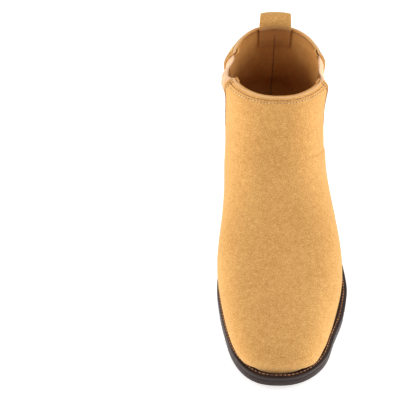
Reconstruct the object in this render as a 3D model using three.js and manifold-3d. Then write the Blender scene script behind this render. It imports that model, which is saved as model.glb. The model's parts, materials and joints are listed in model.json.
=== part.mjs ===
// Chelsea boot for the left foot, standing on its heel and ball, in millimetres.
// The toe points to -Y, +X is the outer (lateral) side of the foot and +Z is up.
// The origin is on the ground, below the middle of the whole boot.
// The sole is a stack of plates that follow one curved underside. The upper is one smooth
// surface, offset inwards layer by layer, and each leather, elastic or stiffener piece is the
// stretch of its layer that its pattern covers when it is seen from the side.
import * as THREE from "three";
import { mergeVertices } from "three/addons/utils/BufferGeometryUtils.js";
import Module from "manifold-3d";

const wasm = await Module();
wasm.setup();
const { Manifold, Mesh } = wasm;

// ---- Driving dimensions -------------------------------------------------------------------

const gap = 0.3; // clearance between pieces that touch in the real boot

const sole = {
  length: 302,
  toeWidth: 62,
  ballWidth: 106.6,
  waistWidth: 65,
  heelWidth: 75,
  toeRounding: 40, // length of the rounded toe end of the outline
  heelRounding: 38, // length of the rounded heel end of the outline
  thickness: 5.5,
  toeSpring: 8,
  flatStart: 84, // the stretch that lies on the ground, from the toe
  flatEnd: 104,
};

const heel = {
  length: 70,
  breastHeight: 20.5, // underside of the outsole at the front of the heel
  backHeight: 26, // underside of the outsole at the back of the heel
  taper: 1.6, // how far the heel draws in from the seat to the ground
  breastHollow: 3, // depth of the hollow front face
  topPiece: 6, // rubber that meets the ground
  lift: 5,
};

const welt = {
  thickness: 3,
  end: 4, // behind the front of the heel; a plain rand follows it round the heel
  toeReveal: 5.5,
  waistReveal: 3.4,
  seatReveal: 1.8,
  inner: 3, // under the upper
};

const rib = { width: 2 };
const shank = { aheadOfHeel: 74, overHeel: 26, width: 14, thickness: 1.5 };
const insole = { thickness: 3, edge: 3 };
const insock = { thickness: 1, edge: 0.4 };
const nail = {
  radius: 1.2,
  headRadius: 2.6,
  headThickness: 1,
  length: 24,
  edge: 13, // from the outline of the sole
  pairs: [16, 38], // from the front of the heel
};

const stitch = {
  weltRadius: 0.5,
  weltInset: 2.4,
  weltEnd: 42, // ahead of the heel
  soleRadius: 0.6,
  soleInset: 9,
  soleEnd: 8, // ahead of the heel
  grooveClearance: 0.35,
};

const upper = {
  leather: 1.6,
  middle: 1.2, // stiffeners, elastic and interlining, between the leather and the lining
  lining: 1.2,
  toeBox: 24, // height of the toe above the welt
  ballRidge: 45.5, // height of the ridge above the welt over the ball of the foot
  instep: 98.5, // height of the ridge above the ground where the shaft begins
  frontTop: 143.5,
  backTop: 147,
  backSetIn: 21, // from the back of the sole to the back of the opening
  openingLength: 100,
  openingWidth: 71,
  ankleWidth: 82,
  ankleRise: 30, // height over which the sole's plan eases into the shaft
  outerSpread: 8, // how far the foot spreads the leather over the waist of the sole
  innerSpread: 4,
};

const pattern = {
  gussetTopWidth: 34,
  gussetBottomWidth: 22,
  gussetBottom: 82,
  gussetDip: 4, // how far the elastic stops below the top edge
  gussetStart: 26, // from the front of the opening to the elastic
  gussetLean: 12, // how much further back its front edge is at the bottom
  gussetCorner: 8,
  gussetMargin: 6, // elastic held between leather and lining
  seamFoot: 10, // where the side seam meets the sole, ahead of the heel
  toePuff: 62,
  counterTop: 78,
  counterLean: 12,
  backstayWidth: 14,
  backstayThickness: 1.2,
};

// The pull tab is one strap over the back edge, sewn down inside and outside. Its free loop
// swings on the stretch between the sewn ends and its own foot.
const tab = { width: 27, thickness: 1.5, sewn: 19, height: 14, hingeClearance: 3 };

// ---- Materials ----------------------------------------------------------------------------

const finish = (color, roughness, metalness = 0) =>
  new THREE.MeshStandardMaterial({ color, roughness, metalness });
const materials = {
  suede: finish(0xe0a860, 0.95),
  lining: finish(0xa87238, 0.6),
  elastic: finish(0xdcae8c, 0.85),
  board: finish(0xb59a78, 0.8),
  canvas: finish(0xe6ddca, 0.9),
  insock: finish(0x6a3a22, 0.55),
  cork: finish(0x9a6a42, 0.95),
  welt: finish(0x44322b, 0.5),
  sole: finish(0x9b5c30, 0.4),
  heel: finish(0x4a3a36, 0.45),
  rubber: finish(0x242426, 0.6),
  steel: finish(0x9a9ca0, 0.35, 1),
  brass: finish(0xb5924c, 0.35, 1),
  thread: finish(0xc9a47c, 0.8),
};

// ---- Curves -------------------------------------------------------------------------------

// A smooth curve through [position, value] points that never overshoots them.
function curveThrough(points) {
  const rise = (i) => (points[i + 1][1] - points[i][1]) / (points[i + 1][0] - points[i][0]);
  const slope = points.map((_, i) => {
    if (i === 0) return rise(0);
    if (i === points.length - 1) return rise(i - 1);
    const [before, after] = [rise(i - 1), rise(i)];
    return before * after <= 0 ? 0 : (2 * before * after) / (before + after);
  });
  return (at) => {
    const x = THREE.MathUtils.clamp(at, points[0][0], points.at(-1)[0]);
    let i = 0;
    while (i < points.length - 2 && x > points[i + 1][0]) i++;
    const span = points[i + 1][0] - points[i][0];
    const s = (x - points[i][0]) / span;
    const low = (1 + 2 * s) * (1 - s) ** 2 * points[i][1] + s * (1 - s) ** 2 * span * slope[i];
    const high = s * s * (3 - 2 * s) * points[i + 1][1] + s * s * (s - 1) * span * slope[i + 1];
    return low + high;
  };
}

// Height of the outsole's underside, at a distance from the toe.
const breast = sole.length - heel.length; // front of the heel
const weltEnd = breast + welt.end;
function underside(y) {
  const seatSlope = (heel.backHeight - heel.breastHeight) / heel.length;
  if (y < sole.flatStart) return sole.toeSpring * (1 - y / sole.flatStart) ** 1.8;
  if (y < sole.flatEnd) return 0;
  if (y > breast) return heel.breastHeight + seatSlope * (y - breast);
  const span = breast - sole.flatEnd;
  const s = (y - sole.flatEnd) / span;
  return heel.breastHeight * s * s * (3 - 2 * s) + seatSlope * span * s * s * (s - 1);
}

// The sole's plan: half widths [lateral, medial] at shares of its length, before the two ends
// are rounded off. The toe leans to the medial side, and the waist is drawn in there.
const plan = [
  [0, sole.toeWidth * 0.53, sole.toeWidth * 0.47],
  [0.066, sole.toeWidth * 0.63, sole.toeWidth * 0.52],
  [0.15, sole.toeWidth * 0.74, sole.toeWidth * 0.61],
  [0.25, sole.ballWidth * 0.525, sole.ballWidth * 0.406],
  [0.348, sole.ballWidth * 0.568, sole.ballWidth * 0.432],
  [0.45, sole.ballWidth * 0.54, sole.ballWidth * 0.392],
  [0.563, sole.ballWidth * 0.464, sole.ballWidth * 0.3],
  [0.68, sole.waistWidth * 0.64, sole.waistWidth * 0.425],
  [0.795, sole.waistWidth * 0.572, sole.waistWidth * 0.49],
  [0.877, sole.heelWidth * 0.513, sole.heelWidth * 0.48],
  [1, sole.heelWidth * 0.533, sole.heelWidth * 0.467],
];
const planSides = [1, 2].map((side) => curveThrough(plan.map((row) => [row[0], row[side]])));
const LATERAL = 0;
const MEDIAL = 1;

// Share of the full width that a superellipse end leaves at a distance from its tip.
function roundedEnd(distance, reach, power) {
  if (distance >= reach) return 1;
  return (1 - (1 - Math.max(distance, 0) / reach) ** power) ** (1 / power);
}

// Half width of the sole's outline drawn in by an inset, on one side, at a distance from the toe.
function halfWidth(side, y, inset = 0) {
  const toeEnd = roundedEnd(y - inset, sole.toeRounding, 2.5);
  const heelEnd = roundedEnd(sole.length - inset - y, sole.heelRounding, 2.2);
  return Math.max(planSides[side](y / sole.length) - inset, 0) * toeEnd * heelEnd;
}

// How far the welt shows beyond the upper.
const reveal = curveThrough([
  [0, welt.toeReveal],
  [sole.flatEnd, welt.toeReveal],
  [weltEnd - 40, welt.waistReveal],
  [sole.length, welt.seatReveal],
]);
const toeEdge = welt.toeReveal;
const heelEdge = sole.length - welt.seatReveal;

// Where each layer of the sole begins, above the underside.
const level = { welt: sole.thickness + gap };
level.seat = level.welt + welt.thickness + gap;
level.insock = level.seat + insole.thickness + gap;
const seatHeight = (y) => underside(y) + level.seat;

// ---- Solids -------------------------------------------------------------------------------

// A closed solid from a triangle list of three.js vectors.
function solidOfTriangles(triangles) {
  const positions = new Float32Array(triangles.flatMap((p) => [p.x, p.y, p.z]));
  const loose = new THREE.BufferGeometry();
  loose.setAttribute("position", new THREE.BufferAttribute(positions, 3));
  return solidOf(loose);
}

function solidOf(geometry) {
  const bare = geometry.clone();
  bare.deleteAttribute("normal");
  bare.deleteAttribute("uv");
  const merged = mergeVertices(bare, 1e-3);
  const index = [...merged.index.array];
  const triVerts = [];
  for (let i = 0; i < index.length; i += 3) {
    const [a, b, c] = index.slice(i, i + 3);
    if (a !== b && b !== c && a !== c) triVerts.push(a, b, c);
  }
  return new Manifold(
    new Mesh({
      numProp: 3,
      vertProperties: merged.attributes.position.array,
      triVerts: new Uint32Array(triVerts),
    }),
  );
}

function geometryOf(solid) {
  const mesh = solid.getMesh();
  const positions = new Float32Array(mesh.numVert * 3);
  for (let i = 0; i < mesh.numVert; i++) {
    const first = i * mesh.numProp;
    positions.set(mesh.vertProperties.subarray(first, first + 3), i * 3);
  }
  const geometry = new THREE.BufferGeometry();
  geometry.setAttribute("position", new THREE.BufferAttribute(positions, 3));
  geometry.setIndex(new THREE.BufferAttribute(mesh.triVerts, 1));
  geometry.computeVertexNormals();
  return geometry;
}

// Quads between neighbouring rows of points, as triangles.
function skin(rows, flipped = false) {
  const triangles = [];
  for (let i = 0; i + 1 < rows.length; i++) {
    for (let j = 0; j + 1 < rows[i].length; j++) {
      const [a, b, c, d] = [rows[i][j], rows[i][j + 1], rows[i + 1][j + 1], rows[i + 1][j]];
      triangles.push(...(flipped ? [a, c, b, a, d, c] : [a, b, c, a, c, d]));
    }
  }
  return triangles;
}

// A plate from cross-sections, each four corners in order round the section.
function plateOf(sections) {
  const closed = sections.map((corners) => [...corners, corners[0]]);
  const [a, b, c, d] = sections[0];
  const [e, f, g, h] = sections.at(-1);
  return solidOfTriangles([...skin(closed, true), a, b, c, a, c, d, e, g, f, e, h, g]);
}

// Positions between two ends, closer together near both.
function spacedBetween(from, to, count) {
  return Array.from(
    { length: count + 1 },
    (_, i) => from + ((to - from) * (1 - Math.cos((Math.PI * i) / count))) / 2,
  );
}

// A plate that follows the underside, between two heights above it, inside the outline.
function solePlate(low, high, inset, from = inset + 0.1, to = sole.length - inset - 0.1, count = 30) {
  const insetAt = typeof inset === "function" ? inset : () => inset;
  const sections = spacedBetween(from, to, count).map((y) => {
    const left = halfWidth(LATERAL, y, insetAt(y));
    const right = -halfWidth(MEDIAL, y, insetAt(y));
    const [bottom, top] = [underside(y) + low, underside(y) + high];
    return [
      new THREE.Vector3(left, y, bottom),
      new THREE.Vector3(left, y, top),
      new THREE.Vector3(right, y, top),
      new THREE.Vector3(right, y, bottom),
    ];
  });
  return plateOf(sections);
}

// A block that fills x, y and z ranges.
function block(x, y, z) {
  const box = new THREE.BoxGeometry(x[1] - x[0], y[1] - y[0], z[1] - z[0]);
  box.translate((x[0] + x[1]) / 2, (y[0] + y[1]) / 2, (z[0] + z[1]) / 2);
  return solidOf(box);
}

const reach = 400; // beyond the boot on every side

// A side-view outline of [y, z] points, as a prism through the boot.
function prism(points, x = [-reach, reach]) {
  const shape = new THREE.Shape(points.map(([y, z]) => new THREE.Vector2(y, z)));
  const geometry = new THREE.ExtrudeGeometry(shape, { depth: x[1] - x[0], bevelEnabled: false });
  geometry.applyMatrix4(
    new THREE.Matrix4().makeBasis(
      new THREE.Vector3(0, 1, 0),
      new THREE.Vector3(0, 0, 1),
      new THREE.Vector3(1, 0, 0),
    ),
  );
  return solidOf(geometry.translate(x[0], 0, 0));
}

// A round thread along the outline, on both sides of the toe, back to the given distance.
function threadTube(inset, height, radius, to) {
  const steps = 36;
  const sides = 6;
  const half = spacedBetween(inset + gap, to, steps / 2);
  const point = (side, y) =>
    new THREE.Vector3(
      halfWidth(side, y, inset) * (side === LATERAL ? 1 : -1),
      y,
      underside(y) + height,
    );
  const points = [
    ...half.toReversed().map((y) => point(LATERAL, y)),
    ...half.map((y) => point(MEDIAL, y)),
  ];
  const section = new THREE.Shape(
    Array.from({ length: sides }, (_, i) => {
      const angle = (2 * Math.PI * i) / sides;
      return new THREE.Vector2(radius * Math.cos(angle), radius * Math.sin(angle));
    }),
  );
  const extrudePath = new THREE.CatmullRomCurve3(points, false, "centripetal");
  return solidOf(new THREE.ExtrudeGeometry(section, { steps, extrudePath, bevelEnabled: false }));
}

// ---- Surface of the upper -----------------------------------------------------------------

// The back of the boot, from the seat to the top edge: [height, distance from the toe].
const backTopY = sole.length - upper.backSetIn;
const frontTopY = backTopY - upper.openingLength;
const seatBack = seatHeight(heelEdge);
const backCurve = curveThrough([
  [seatBack, heelEdge],
  [seatBack + 20, sole.length],
  [seatBack + 38, sole.length - 2.5],
  [THREE.MathUtils.lerp(seatBack, upper.backTop, 0.54), backTopY + 8],
  [THREE.MathUtils.lerp(seatBack, upper.backTop, 0.78), backTopY + 2],
  [upper.backTop, backTopY],
]);

// The lower end of each cross-section runs along the edge of the welt (0 to 1) and then up the
// back of the heel (1 to 2).
const toeCorner = 22;
const aheadOfBack = (distance) => 1 - distance / (heelEdge - toeCorner);
function lowerEnd(along) {
  if (along <= 1) {
    const y = THREE.MathUtils.lerp(toeCorner, heelEdge, along);
    return [y, seatHeight(y)];
  }
  const z = THREE.MathUtils.lerp(seatBack, upper.backTop, along - 1);
  return [backCurve(z), z];
}

// Cross-sections from the edge of the toe to the top edge. Each is a flat curve from a point of
// the ridge, over the middle of the foot, down to its lower end on both sides. A foot section
// takes its half widths midway up from "outer" and "inner", as shares of its width on the welt,
// and "depth" draws its points towards the lower end. "shaft" is 1 where the shaft's own widths
// take over.
const ballY = (sole.flatStart + sole.flatEnd) / 2;
const toeTop = seatHeight(toeEdge) + upper.toeBox;
const ballTop = seatHeight(ballY) + upper.ballRidge;
const ridgeY = (share) => frontTopY * share;
const ridgeZ = (share) => THREE.MathUtils.lerp(ballTop, upper.instep, share);
const shaftZ = (share) => THREE.MathUtils.lerp(upper.instep, upper.frontTop, share);

const foot = (y, z, end, outer, inner, depth = 1, shaft = 0) => ({
  y,
  z,
  end,
  outer,
  inner,
  depth,
  shaft,
});
const shaft = (share, height, end) => ({
  y: ridgeY(share),
  z: shaftZ(height),
  end,
  outer: 1,
  inner: 1,
  depth: 2,
  shaft: 1,
});
const keySections = [
  foot(toeEdge, seatHeight(toeEdge), 0, 0.78, 0.78),
  foot(toeEdge - 1.5, toeTop - upper.toeBox * 0.55, 0.018, 0.8, 0.8),
  foot(toeEdge + 4, toeTop - upper.toeBox * 0.14, 0.0503, 0.79, 0.79),
  foot(ridgeY(0.14), toeTop + 2.5, 0.1078, 0.78, 0.79),
  foot(ridgeY(0.29), (toeTop + ballTop) / 2 - 1, 0.187, 0.79, 0.81),
  foot(ridgeY(0.47), ballTop, 0.2876, 0.83, 0.9),
  foot(ridgeY(0.64), ridgeZ(0.29), 0.435, 0.98, 1.2, 1.05),
  foot(ridgeY(0.77), ridgeZ(0.618), 0.6255, 1.22, 1.66, 1.25, 0.35),
  foot(ridgeY(0.845), ridgeZ(0.865), 0.805, 1.2, 1.4, 1.55, 0.85),
  foot(ridgeY(0.86), ridgeZ(0.925), aheadOfBack(25), 1, 1, 1.75, 1),
  foot(ridgeY(0.872), ridgeZ(0.977), aheadOfBack(8), 1, 1, 1.9, 1),
  shaft(0.877, 0, 1),
  shaft(0.925, 0.235, 1.22),
  shaft(0.965, 0.51, 1.5),
  shaft(0.99, 0.79, 1.78),
  shaft(1, 1, 2),
];
const sectionAt = Object.fromEntries(
  Object.keys(keySections[0]).map((key) => [
    key,
    curveThrough(keySections.map((section, i) => [i, section[key]])),
  ]),
);

// Half widths of the shaft by height, lateral and medial. It flares a little below the top
// edge, where the elastic draws it in.
const shaftRows = [
  [seatBack, sole.heelWidth * 0.5, sole.heelWidth * 0.47],
  [upper.instep * 0.62, upper.ankleWidth * 0.5, upper.ankleWidth * 0.485],
  [upper.instep, upper.ankleWidth * 0.49, upper.ankleWidth * 0.5],
  [shaftZ(0.5), upper.ankleWidth * 0.495, upper.ankleWidth * 0.525],
  [shaftZ(0.75), upper.ankleWidth * 0.53, upper.ankleWidth * 0.55],
  [upper.backTop, upper.openingWidth * 0.51, upper.openingWidth * 0.49],
];
const shaftSides = [1, 2].map((side) => curveThrough(shaftRows.map((row) => [row[0], row[side]])));

// Half width of the heel and shaft at a point of the side view, at a distance from the ridge.
const shaftRounding = upper.openingLength / 2;
function shaftWidth(side, y, z, fromRidge) {
  const { lerp, smoothstep } = THREE.MathUtils;
  const eased = smoothstep(z - seatHeight(y), 0, upper.ankleRise);
  const onSole = planSides[side](y / sole.length) - reveal(y);
  const ahead = 1 - smoothstep(y, ballY + 50, weltEnd + 10);
  const low = 1 - smoothstep(z, upper.instep * 0.5, upper.instep * 1.2);
  const spread = (side === LATERAL ? upper.outerSpread : upper.innerSpread) * ahead * low;
  const width = lerp(onSole, shaftSides[side](z) + spread, eased);
  const back = lerp(sole.heelRounding, shaftRounding, eased);
  return (
    width * roundedEnd(fromRidge, shaftRounding, 2.3) * roundedEnd(backCurve(z) - y, back, 2.2)
  );
}

// One side of a section, at an angle from 0 at its lower end to a quarter turn at the ridge.
const FOOT_POWER = 0.75;
function sectionPoint(at, side, angle) {
  const [endY, endZ] = lowerEnd(sectionAt.end(at));
  const ridge = new THREE.Vector2(sectionAt.y(at), sectionAt.z(at));
  const rise = Math.sin(angle) ** sectionAt.depth(at);
  const y = THREE.MathUtils.lerp(endY, ridge.x, rise);
  const z = THREE.MathUtils.lerp(endZ, ridge.y, rise);
  if (angle > Math.PI / 2 - 1e-6) return new THREE.Vector3(0, y, z);
  const sign = side === LATERAL ? 1 : -1;
  if (at === 0) return new THREE.Vector3(halfWidth(side, y, reveal(y)) * sign, y, seatHeight(y));
  const edge = halfWidth(side, endY, reveal(endY));
  const midway = side === LATERAL ? sectionAt.outer(at) : sectionAt.inner(at);
  const belly = edge * (midway - Math.cos(Math.PI / 4) ** FOOT_POWER);
  const onFoot = edge * Math.cos(angle) ** FOOT_POWER + belly * Math.sin(2 * angle);
  const onShaft = shaftWidth(side, y, z, ridge.distanceTo(new THREE.Vector2(y, z)));
  const width = THREE.MathUtils.lerp(onFoot, onShaft, sectionAt.shaft(at));
  return new THREE.Vector3(width * sign, y, z);
}

// The surface as rows of points from the lateral to the medial side.
const SIDE_STEPS = 7;
const rowSteps = [2, 1, 1, 1, 2, 2, 3, 3, 2, 1, 1, 1, 1, 2, 1];
const stations = rowSteps.flatMap((steps, i) => Array.from({ length: steps }, (_, j) => i + j / steps));
stations.push(rowSteps.length);
const sections = stations.map((at) => {
  const angles = Array.from({ length: SIDE_STEPS + 1 }, (_, i) => (i / SIDE_STEPS) * (Math.PI / 2));
  const sides = [LATERAL, MEDIAL].map((side) => angles.map((angle) => sectionPoint(at, side, angle)));
  return [...sides[LATERAL], ...sides[MEDIAL].toReversed().slice(1)];
});

// Widths averaged with the sections before and after, so that foot and shaft run into each other.
const easedWidths = (rows) =>
  rows.map((row, i) =>
    row.map((point, j) => {
      const fixed = i === 0 || i === rows.length - 1 || j === 0 || j === row.length - 1;
      const x = fixed ? point.x : (rows[i - 1][j].x + 2 * point.x + rows[i + 1][j].x) / 4;
      return new THREE.Vector3(x, point.y, point.z);
    }),
  );
const surface = easedWidths(easedWidths(sections));
const onBack = stations.map((at) => sectionAt.end(at) > 1 + 1e-6);

// Outward directions at each point. They are level round the bottom edge and the top edge.
const directions = surface.map((row, i) =>
  row.map((_, j) => {
    const last = row.length - 1;
    const along = new THREE.Vector3().subVectors(
      surface[Math.min(i + 1, surface.length - 1)][j],
      surface[Math.max(i - 1, 0)][j],
    );
    const across = new THREE.Vector3().subVectors(row[Math.min(j + 1, last)], row[Math.max(j - 1, 0)]);
    if (onBack[i] && (j === 0 || j === last)) across.set(1, 0, 0);
    if (i === 0 || (!onBack[i] && (j === 0 || j === last))) return bottomDirection(row[j]);
    const normal = along.cross(across).normalize();
    if (i === surface.length - 1) normal.setZ(0).normalize();
    return normal;
  }),
);

// Level, square to the outline of the upper on the welt.
function bottomDirection(point) {
  const side = point.x >= 0 ? LATERAL : MEDIAL;
  const sign = side === LATERAL ? 1 : -1;
  if (Math.abs(point.x) < 1e-3) return new THREE.Vector3(0, point.y < ballY ? -1 : 1, 0);
  const step = 0.5;
  const edge = (y) => halfWidth(side, y, reveal(y));
  const slope = (edge(point.y + step) - edge(point.y - step)) / (2 * step);
  return new THREE.Vector3(sign, -slope, 0).normalize();
}

// The surface moved inwards by a depth. Its bottom edge stays on the welt.
function layerSurface(depth) {
  return surface.map((row, i) =>
    row.map((point, j) => {
      const moved = point.clone().addScaledVector(directions[i][j], -depth);
      const onEdge = i === 0 || (!onBack[i] && (j === 0 || j === row.length - 1));
      if (onEdge) moved.z = seatHeight(moved.y);
      if (onBack[i] && (j === 0 || j === row.length - 1)) moved.x = 0;
      return moved;
    }),
  );
}

// A layer of the upper as one closed shell, between two depths below the outer surface.
function layer(outerDepth, innerDepth) {
  const outer = layerSurface(outerDepth);
  const inner = layerSurface(innerDepth);
  const last = outer[0].length - 1;
  const bottom = (side) => [outer.map((row) => row[side]), inner.map((row) => row[side])];
  return solidOfTriangles([
    ...skin(outer, true),
    ...skin(inner),
    ...skin([outer[0], inner[0]]),
    ...skin([outer.at(-1), inner.at(-1)], true),
    ...skin(bottom(0), true),
    ...skin(bottom(last)),
  ]);
}

// ---- Pattern outlines in side view ----------------------------------------------------------

const { lerp } = THREE.MathUtils;
const everywhere = [-reach, reach];
const gussetFront = frontTopY + pattern.gussetStart;
const gussetBack = gussetFront + pattern.gussetTopWidth;
const gussetFoot = gussetFront + pattern.gussetLean; // front corner of its lower end
const seamTop = gussetFoot + pattern.gussetBottomWidth / 2;
const topHeight = (y) =>
  THREE.MathUtils.mapLinear(y, frontTopY, backTopY, upper.frontTop, upper.backTop);

// The cut-out for the elastic, wide at the top and rounded at the bottom, grown by a margin.
function gussetOutline(margin) {
  const low = pattern.gussetBottom - margin;
  const corner = pattern.gussetCorner;
  const share = corner / (upper.frontTop - low);
  const front = (rise) => lerp(gussetFoot, gussetFront, rise) - margin;
  const back = (rise) => lerp(gussetFoot + pattern.gussetBottomWidth, gussetBack, rise) + margin;
  const chamfer = corner * 0.3;
  return [
    [front(share), low + corner],
    [front(0) + chamfer, low + chamfer],
    [front(0) + corner, low],
    [back(0) - corner, low],
    [back(0) - chamfer, low + chamfer],
    [back(share), low + corner],
    [back(1), upper.frontTop],
    [back(1), reach],
    [front(1), reach],
    [front(1), upper.frontTop],
  ];
}

// Everything more than a dip below the top edge.
function belowTop(dip) {
  const line = [reach, -reach].map((y) => [y, topHeight(y) - dip]);
  return prism([[-reach, -reach], [reach, -reach], ...line]);
}

// Everything ahead of the side seam, which runs down from the elastic to the sole.
function aheadOfSeam(shift = 0) {
  const foot = breast - pattern.seamFoot + shift;
  return prism([
    [-reach, -reach],
    [foot, -reach],
    [foot, 0],
    [seamTop + shift, pattern.gussetBottom],
    [seamTop + shift, reach],
    [-reach, reach],
  ]);
}

// ---- Boot -----------------------------------------------------------------------------------

const boot = new THREE.Group();
function add(name, solid, material) {
  const mesh = new THREE.Mesh(geometryOf(solid), material);
  mesh.name = name;
  boot.add(mesh);
}

const halves = {
  lateral: block([gap / 2, reach], everywhere, everywhere),
  medial: block([-reach, -gap / 2], everywhere, everywhere),
};

// Depths of each layer of the upper below its outer surface.
const depth = { leather: [0, upper.leather] };
depth.middle = [depth.leather[1] + gap, depth.leather[1] + gap + upper.middle];
depth.lining = [depth.middle[1] + gap, depth.middle[1] + gap + upper.lining];
depth.innerTab = [depth.lining[1] + gap, depth.lining[1] + gap + tab.thickness];
depth.outerTab = [-gap - tab.thickness, -gap];
depth.backstay = [-gap - pattern.backstayThickness, -gap];

// The leather and the lining under it are cut alike: a front and two quarters.
function addLeatherAndLining() {
  const cutOut = prism(gussetOutline(0));
  const layers = [
    ["", depth.leather, materials.suede],
    ["_lining", depth.lining, materials.lining],
  ];
  for (const [suffix, depths, material] of layers) {
    const whole = layer(...depths).subtract(cutOut);
    add("vamp" + suffix, whole.intersect(aheadOfSeam()), material);
    const behind = whole.subtract(aheadOfSeam(gap));
    for (const side in halves) {
      add("quarter" + suffix + "_" + side, behind.intersect(halves[side]), material);
    }
  }
}

// Between leather and lining: elastic, stiffeners at the toe and heel, and interlining.
function addMiddle() {
  const middle = layer(...depth.middle);
  const { gussetMargin, gussetDip, toePuff, counterTop, counterLean } = pattern;
  const webbing = prism(gussetOutline(gussetMargin)).intersect(belowTop(gussetDip));
  const elastic = middle.intersect(webbing);
  const free = middle.subtract(prism(gussetOutline(gussetMargin + gap)));
  const toe = (end) => block(everywhere, [-reach, end], everywhere);
  add("toe_puff", free.intersect(toe(toePuff)), materials.board);
  const front = free.subtract(toe(toePuff + gap)).intersect(aheadOfSeam());
  add("vamp_interlining", front, materials.canvas);
  const counter = prism([
    [breast, 0],
    [reach, 0],
    [reach, counterTop],
    [breast + counterLean, counterTop],
  ]);
  add("heel_counter", middle.intersect(counter), materials.board);
  const aboveCounter = block(everywhere, [seamTop, reach], [counterTop + gap, reach]);
  for (const side in halves) {
    add("gusset_" + side, elastic.intersect(halves[side]), materials.elastic);
    const back = free.intersect(aboveCounter).intersect(halves[side]);
    add("quarter_interlining_" + side, back, materials.canvas);
  }
}

// The strip over the back seam, the two sewn ends of the pull tab and its free loop.
function addBackAndTab() {
  const across = [-tab.width / 2, tab.width / 2];
  const backHalf = [backTopY - shaftRounding / 2, reach];
  const sewn = block(across, backHalf, [upper.backTop - tab.sewn, reach]);
  add("pull_tab_inner_end", layer(...depth.innerTab).intersect(sewn), materials.suede);
  add("pull_tab_outer_end", layer(...depth.outerTab).intersect(sewn), materials.suede);
  const strip = [-pattern.backstayWidth / 2, pattern.backstayWidth / 2];
  const belowTab = block(strip, [breast, reach], [0, upper.backTop - tab.sewn - 1]);
  add("backstay", layer(...depth.backstay).intersect(belowTab), materials.suede);

  const outside = backTopY - depth.outerTab[0];
  const inside = backTopY - depth.innerTab[1];
  const centreZ = upper.backTop + tab.height - (outside - inside) / 2;
  const arch = (inset) => {
    const radius = (outside - inside) / 2 - inset;
    const steps = 8;
    const arc = Array.from({ length: steps + 1 }, (_, i) => {
      const angle = (Math.PI * i) / steps;
      const y = (outside + inside) / 2 + radius * Math.cos(angle);
      return [y, centreZ + radius * Math.sin(angle)];
    });
    const foot = upper.backTop + tab.hingeClearance;
    return [[outside - inset, foot], ...arc, [inside + inset, foot]];
  };
  const strap = [...arch(0), ...arch(tab.thickness).toReversed()];
  add("pull_loop", prism(strap, across), materials.suede);
}

// A plate inside the upper or the welt, at an extra distance in from the edge of the upper.
function innerPlate(low, high, extra) {
  const from = toeEdge + extra + gap;
  return solePlate(low, high, (y) => reveal(y) + extra, from, heelEdge - extra - gap);
}

// Heel nails as [x, distance from the toe], in pairs along the seat and one at its back.
const nails = nail.pairs.flatMap((behindBreast) => {
  const y = breast + behindBreast;
  return [
    [halfWidth(LATERAL, y, nail.edge), y],
    [-halfWidth(MEDIAL, y, nail.edge), y],
  ];
});
nails.push([0, sole.length - nail.edge - nail.headRadius]);

// A nail with its head flush in the insole, or its hole when there is a clearance.
function nailSolid([x, y], clearance = 0) {
  const top = underside(y - nail.headRadius) + level.seat + insole.thickness;
  const cylinder = (radius, length) => {
    const wide = radius + clearance;
    const long = length + 2 * clearance;
    const upright = new THREE.CylinderGeometry(wide, wide, long, 12).rotateX(Math.PI / 2);
    return solidOf(upright.translate(x, y, top - length / 2));
  };
  return cylinder(nail.radius, nail.length).add(cylinder(nail.headRadius, nail.headThickness));
}
const nailHoles = nails.map((place) => nailSolid(place, gap)).reduce((all, hole) => all.add(hole));

function addInside() {
  const edge = depth.lining[1] + insole.edge;
  const board = innerPlate(level.seat, level.seat + insole.thickness, edge);
  add("insole", board.subtract(nailHoles), materials.board);
  const sock = innerPlate(level.insock, level.insock + insock.thickness, edge + insock.edge);
  add("insock", sock, materials.insock);

  const [low, high] = [level.welt, level.welt + welt.thickness];
  const ribEdge = welt.inner + gap;
  const shankPlate = (clearance = 0) => {
    const halfShank = shank.width / 2 + clearance;
    const ends = [breast - shank.aheadOfHeel - clearance, breast + shank.overHeel + clearance];
    const strip = block([-halfShank, halfShank], ends, everywhere);
    return strip.intersect(solePlate(low - clearance, low + shank.thickness + clearance, 0));
  };
  const filler = innerPlate(low, high, ribEdge + rib.width + gap).subtract(shankPlate(gap));
  add("cork_filler", filler.subtract(nailHoles), materials.cork);
  add("shank", shankPlate(), materials.steel);

  const ring = innerPlate(low, high, ribEdge).subtract(
    innerPlate(low - 1, high + 1, ribEdge + rib.width),
  );
  add("insole_rib", ring.intersect(aheadOfHeel), materials.canvas);
}

const aheadOfHeel = block(everywhere, [-reach, weltEnd], everywhere);

function addSole() {
  const [low, high] = [level.welt, level.welt + welt.thickness];
  const strip = solePlate(low, high, 0).subtract(innerPlate(low - 1, high + 1, welt.inner));
  const behind = block(everywhere, [weltEnd + gap, reach], everywhere);
  add("welt", strip.intersect(aheadOfHeel), materials.welt);
  add("heel_rand", strip.intersect(behind), materials.welt);

  const { weltRadius, soleRadius, grooveClearance } = stitch;
  const seamHeight = soleRadius + grooveClearance / 2;
  const seamEnd = breast - stitch.soleEnd;
  const wide = soleRadius + grooveClearance;
  const groove = threadTube(stitch.soleInset, seamHeight, wide, seamEnd + gap);
  const outsole = solePlate(0, sole.thickness, 0).subtract(groove).subtract(nailHoles);
  add("outsole", outsole, materials.sole);
  const soleThread = threadTube(stitch.soleInset, seamHeight, soleRadius, seamEnd);
  add("outsole_stitching", soleThread, materials.thread);
  const onWeltTop = level.seat + weltRadius;
  const seamStart = breast - stitch.weltEnd;
  const weltThread = threadTube(stitch.weltInset, onWeltTop, weltRadius, seamStart);
  add("welt_stitching", weltThread, materials.thread);
}

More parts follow.
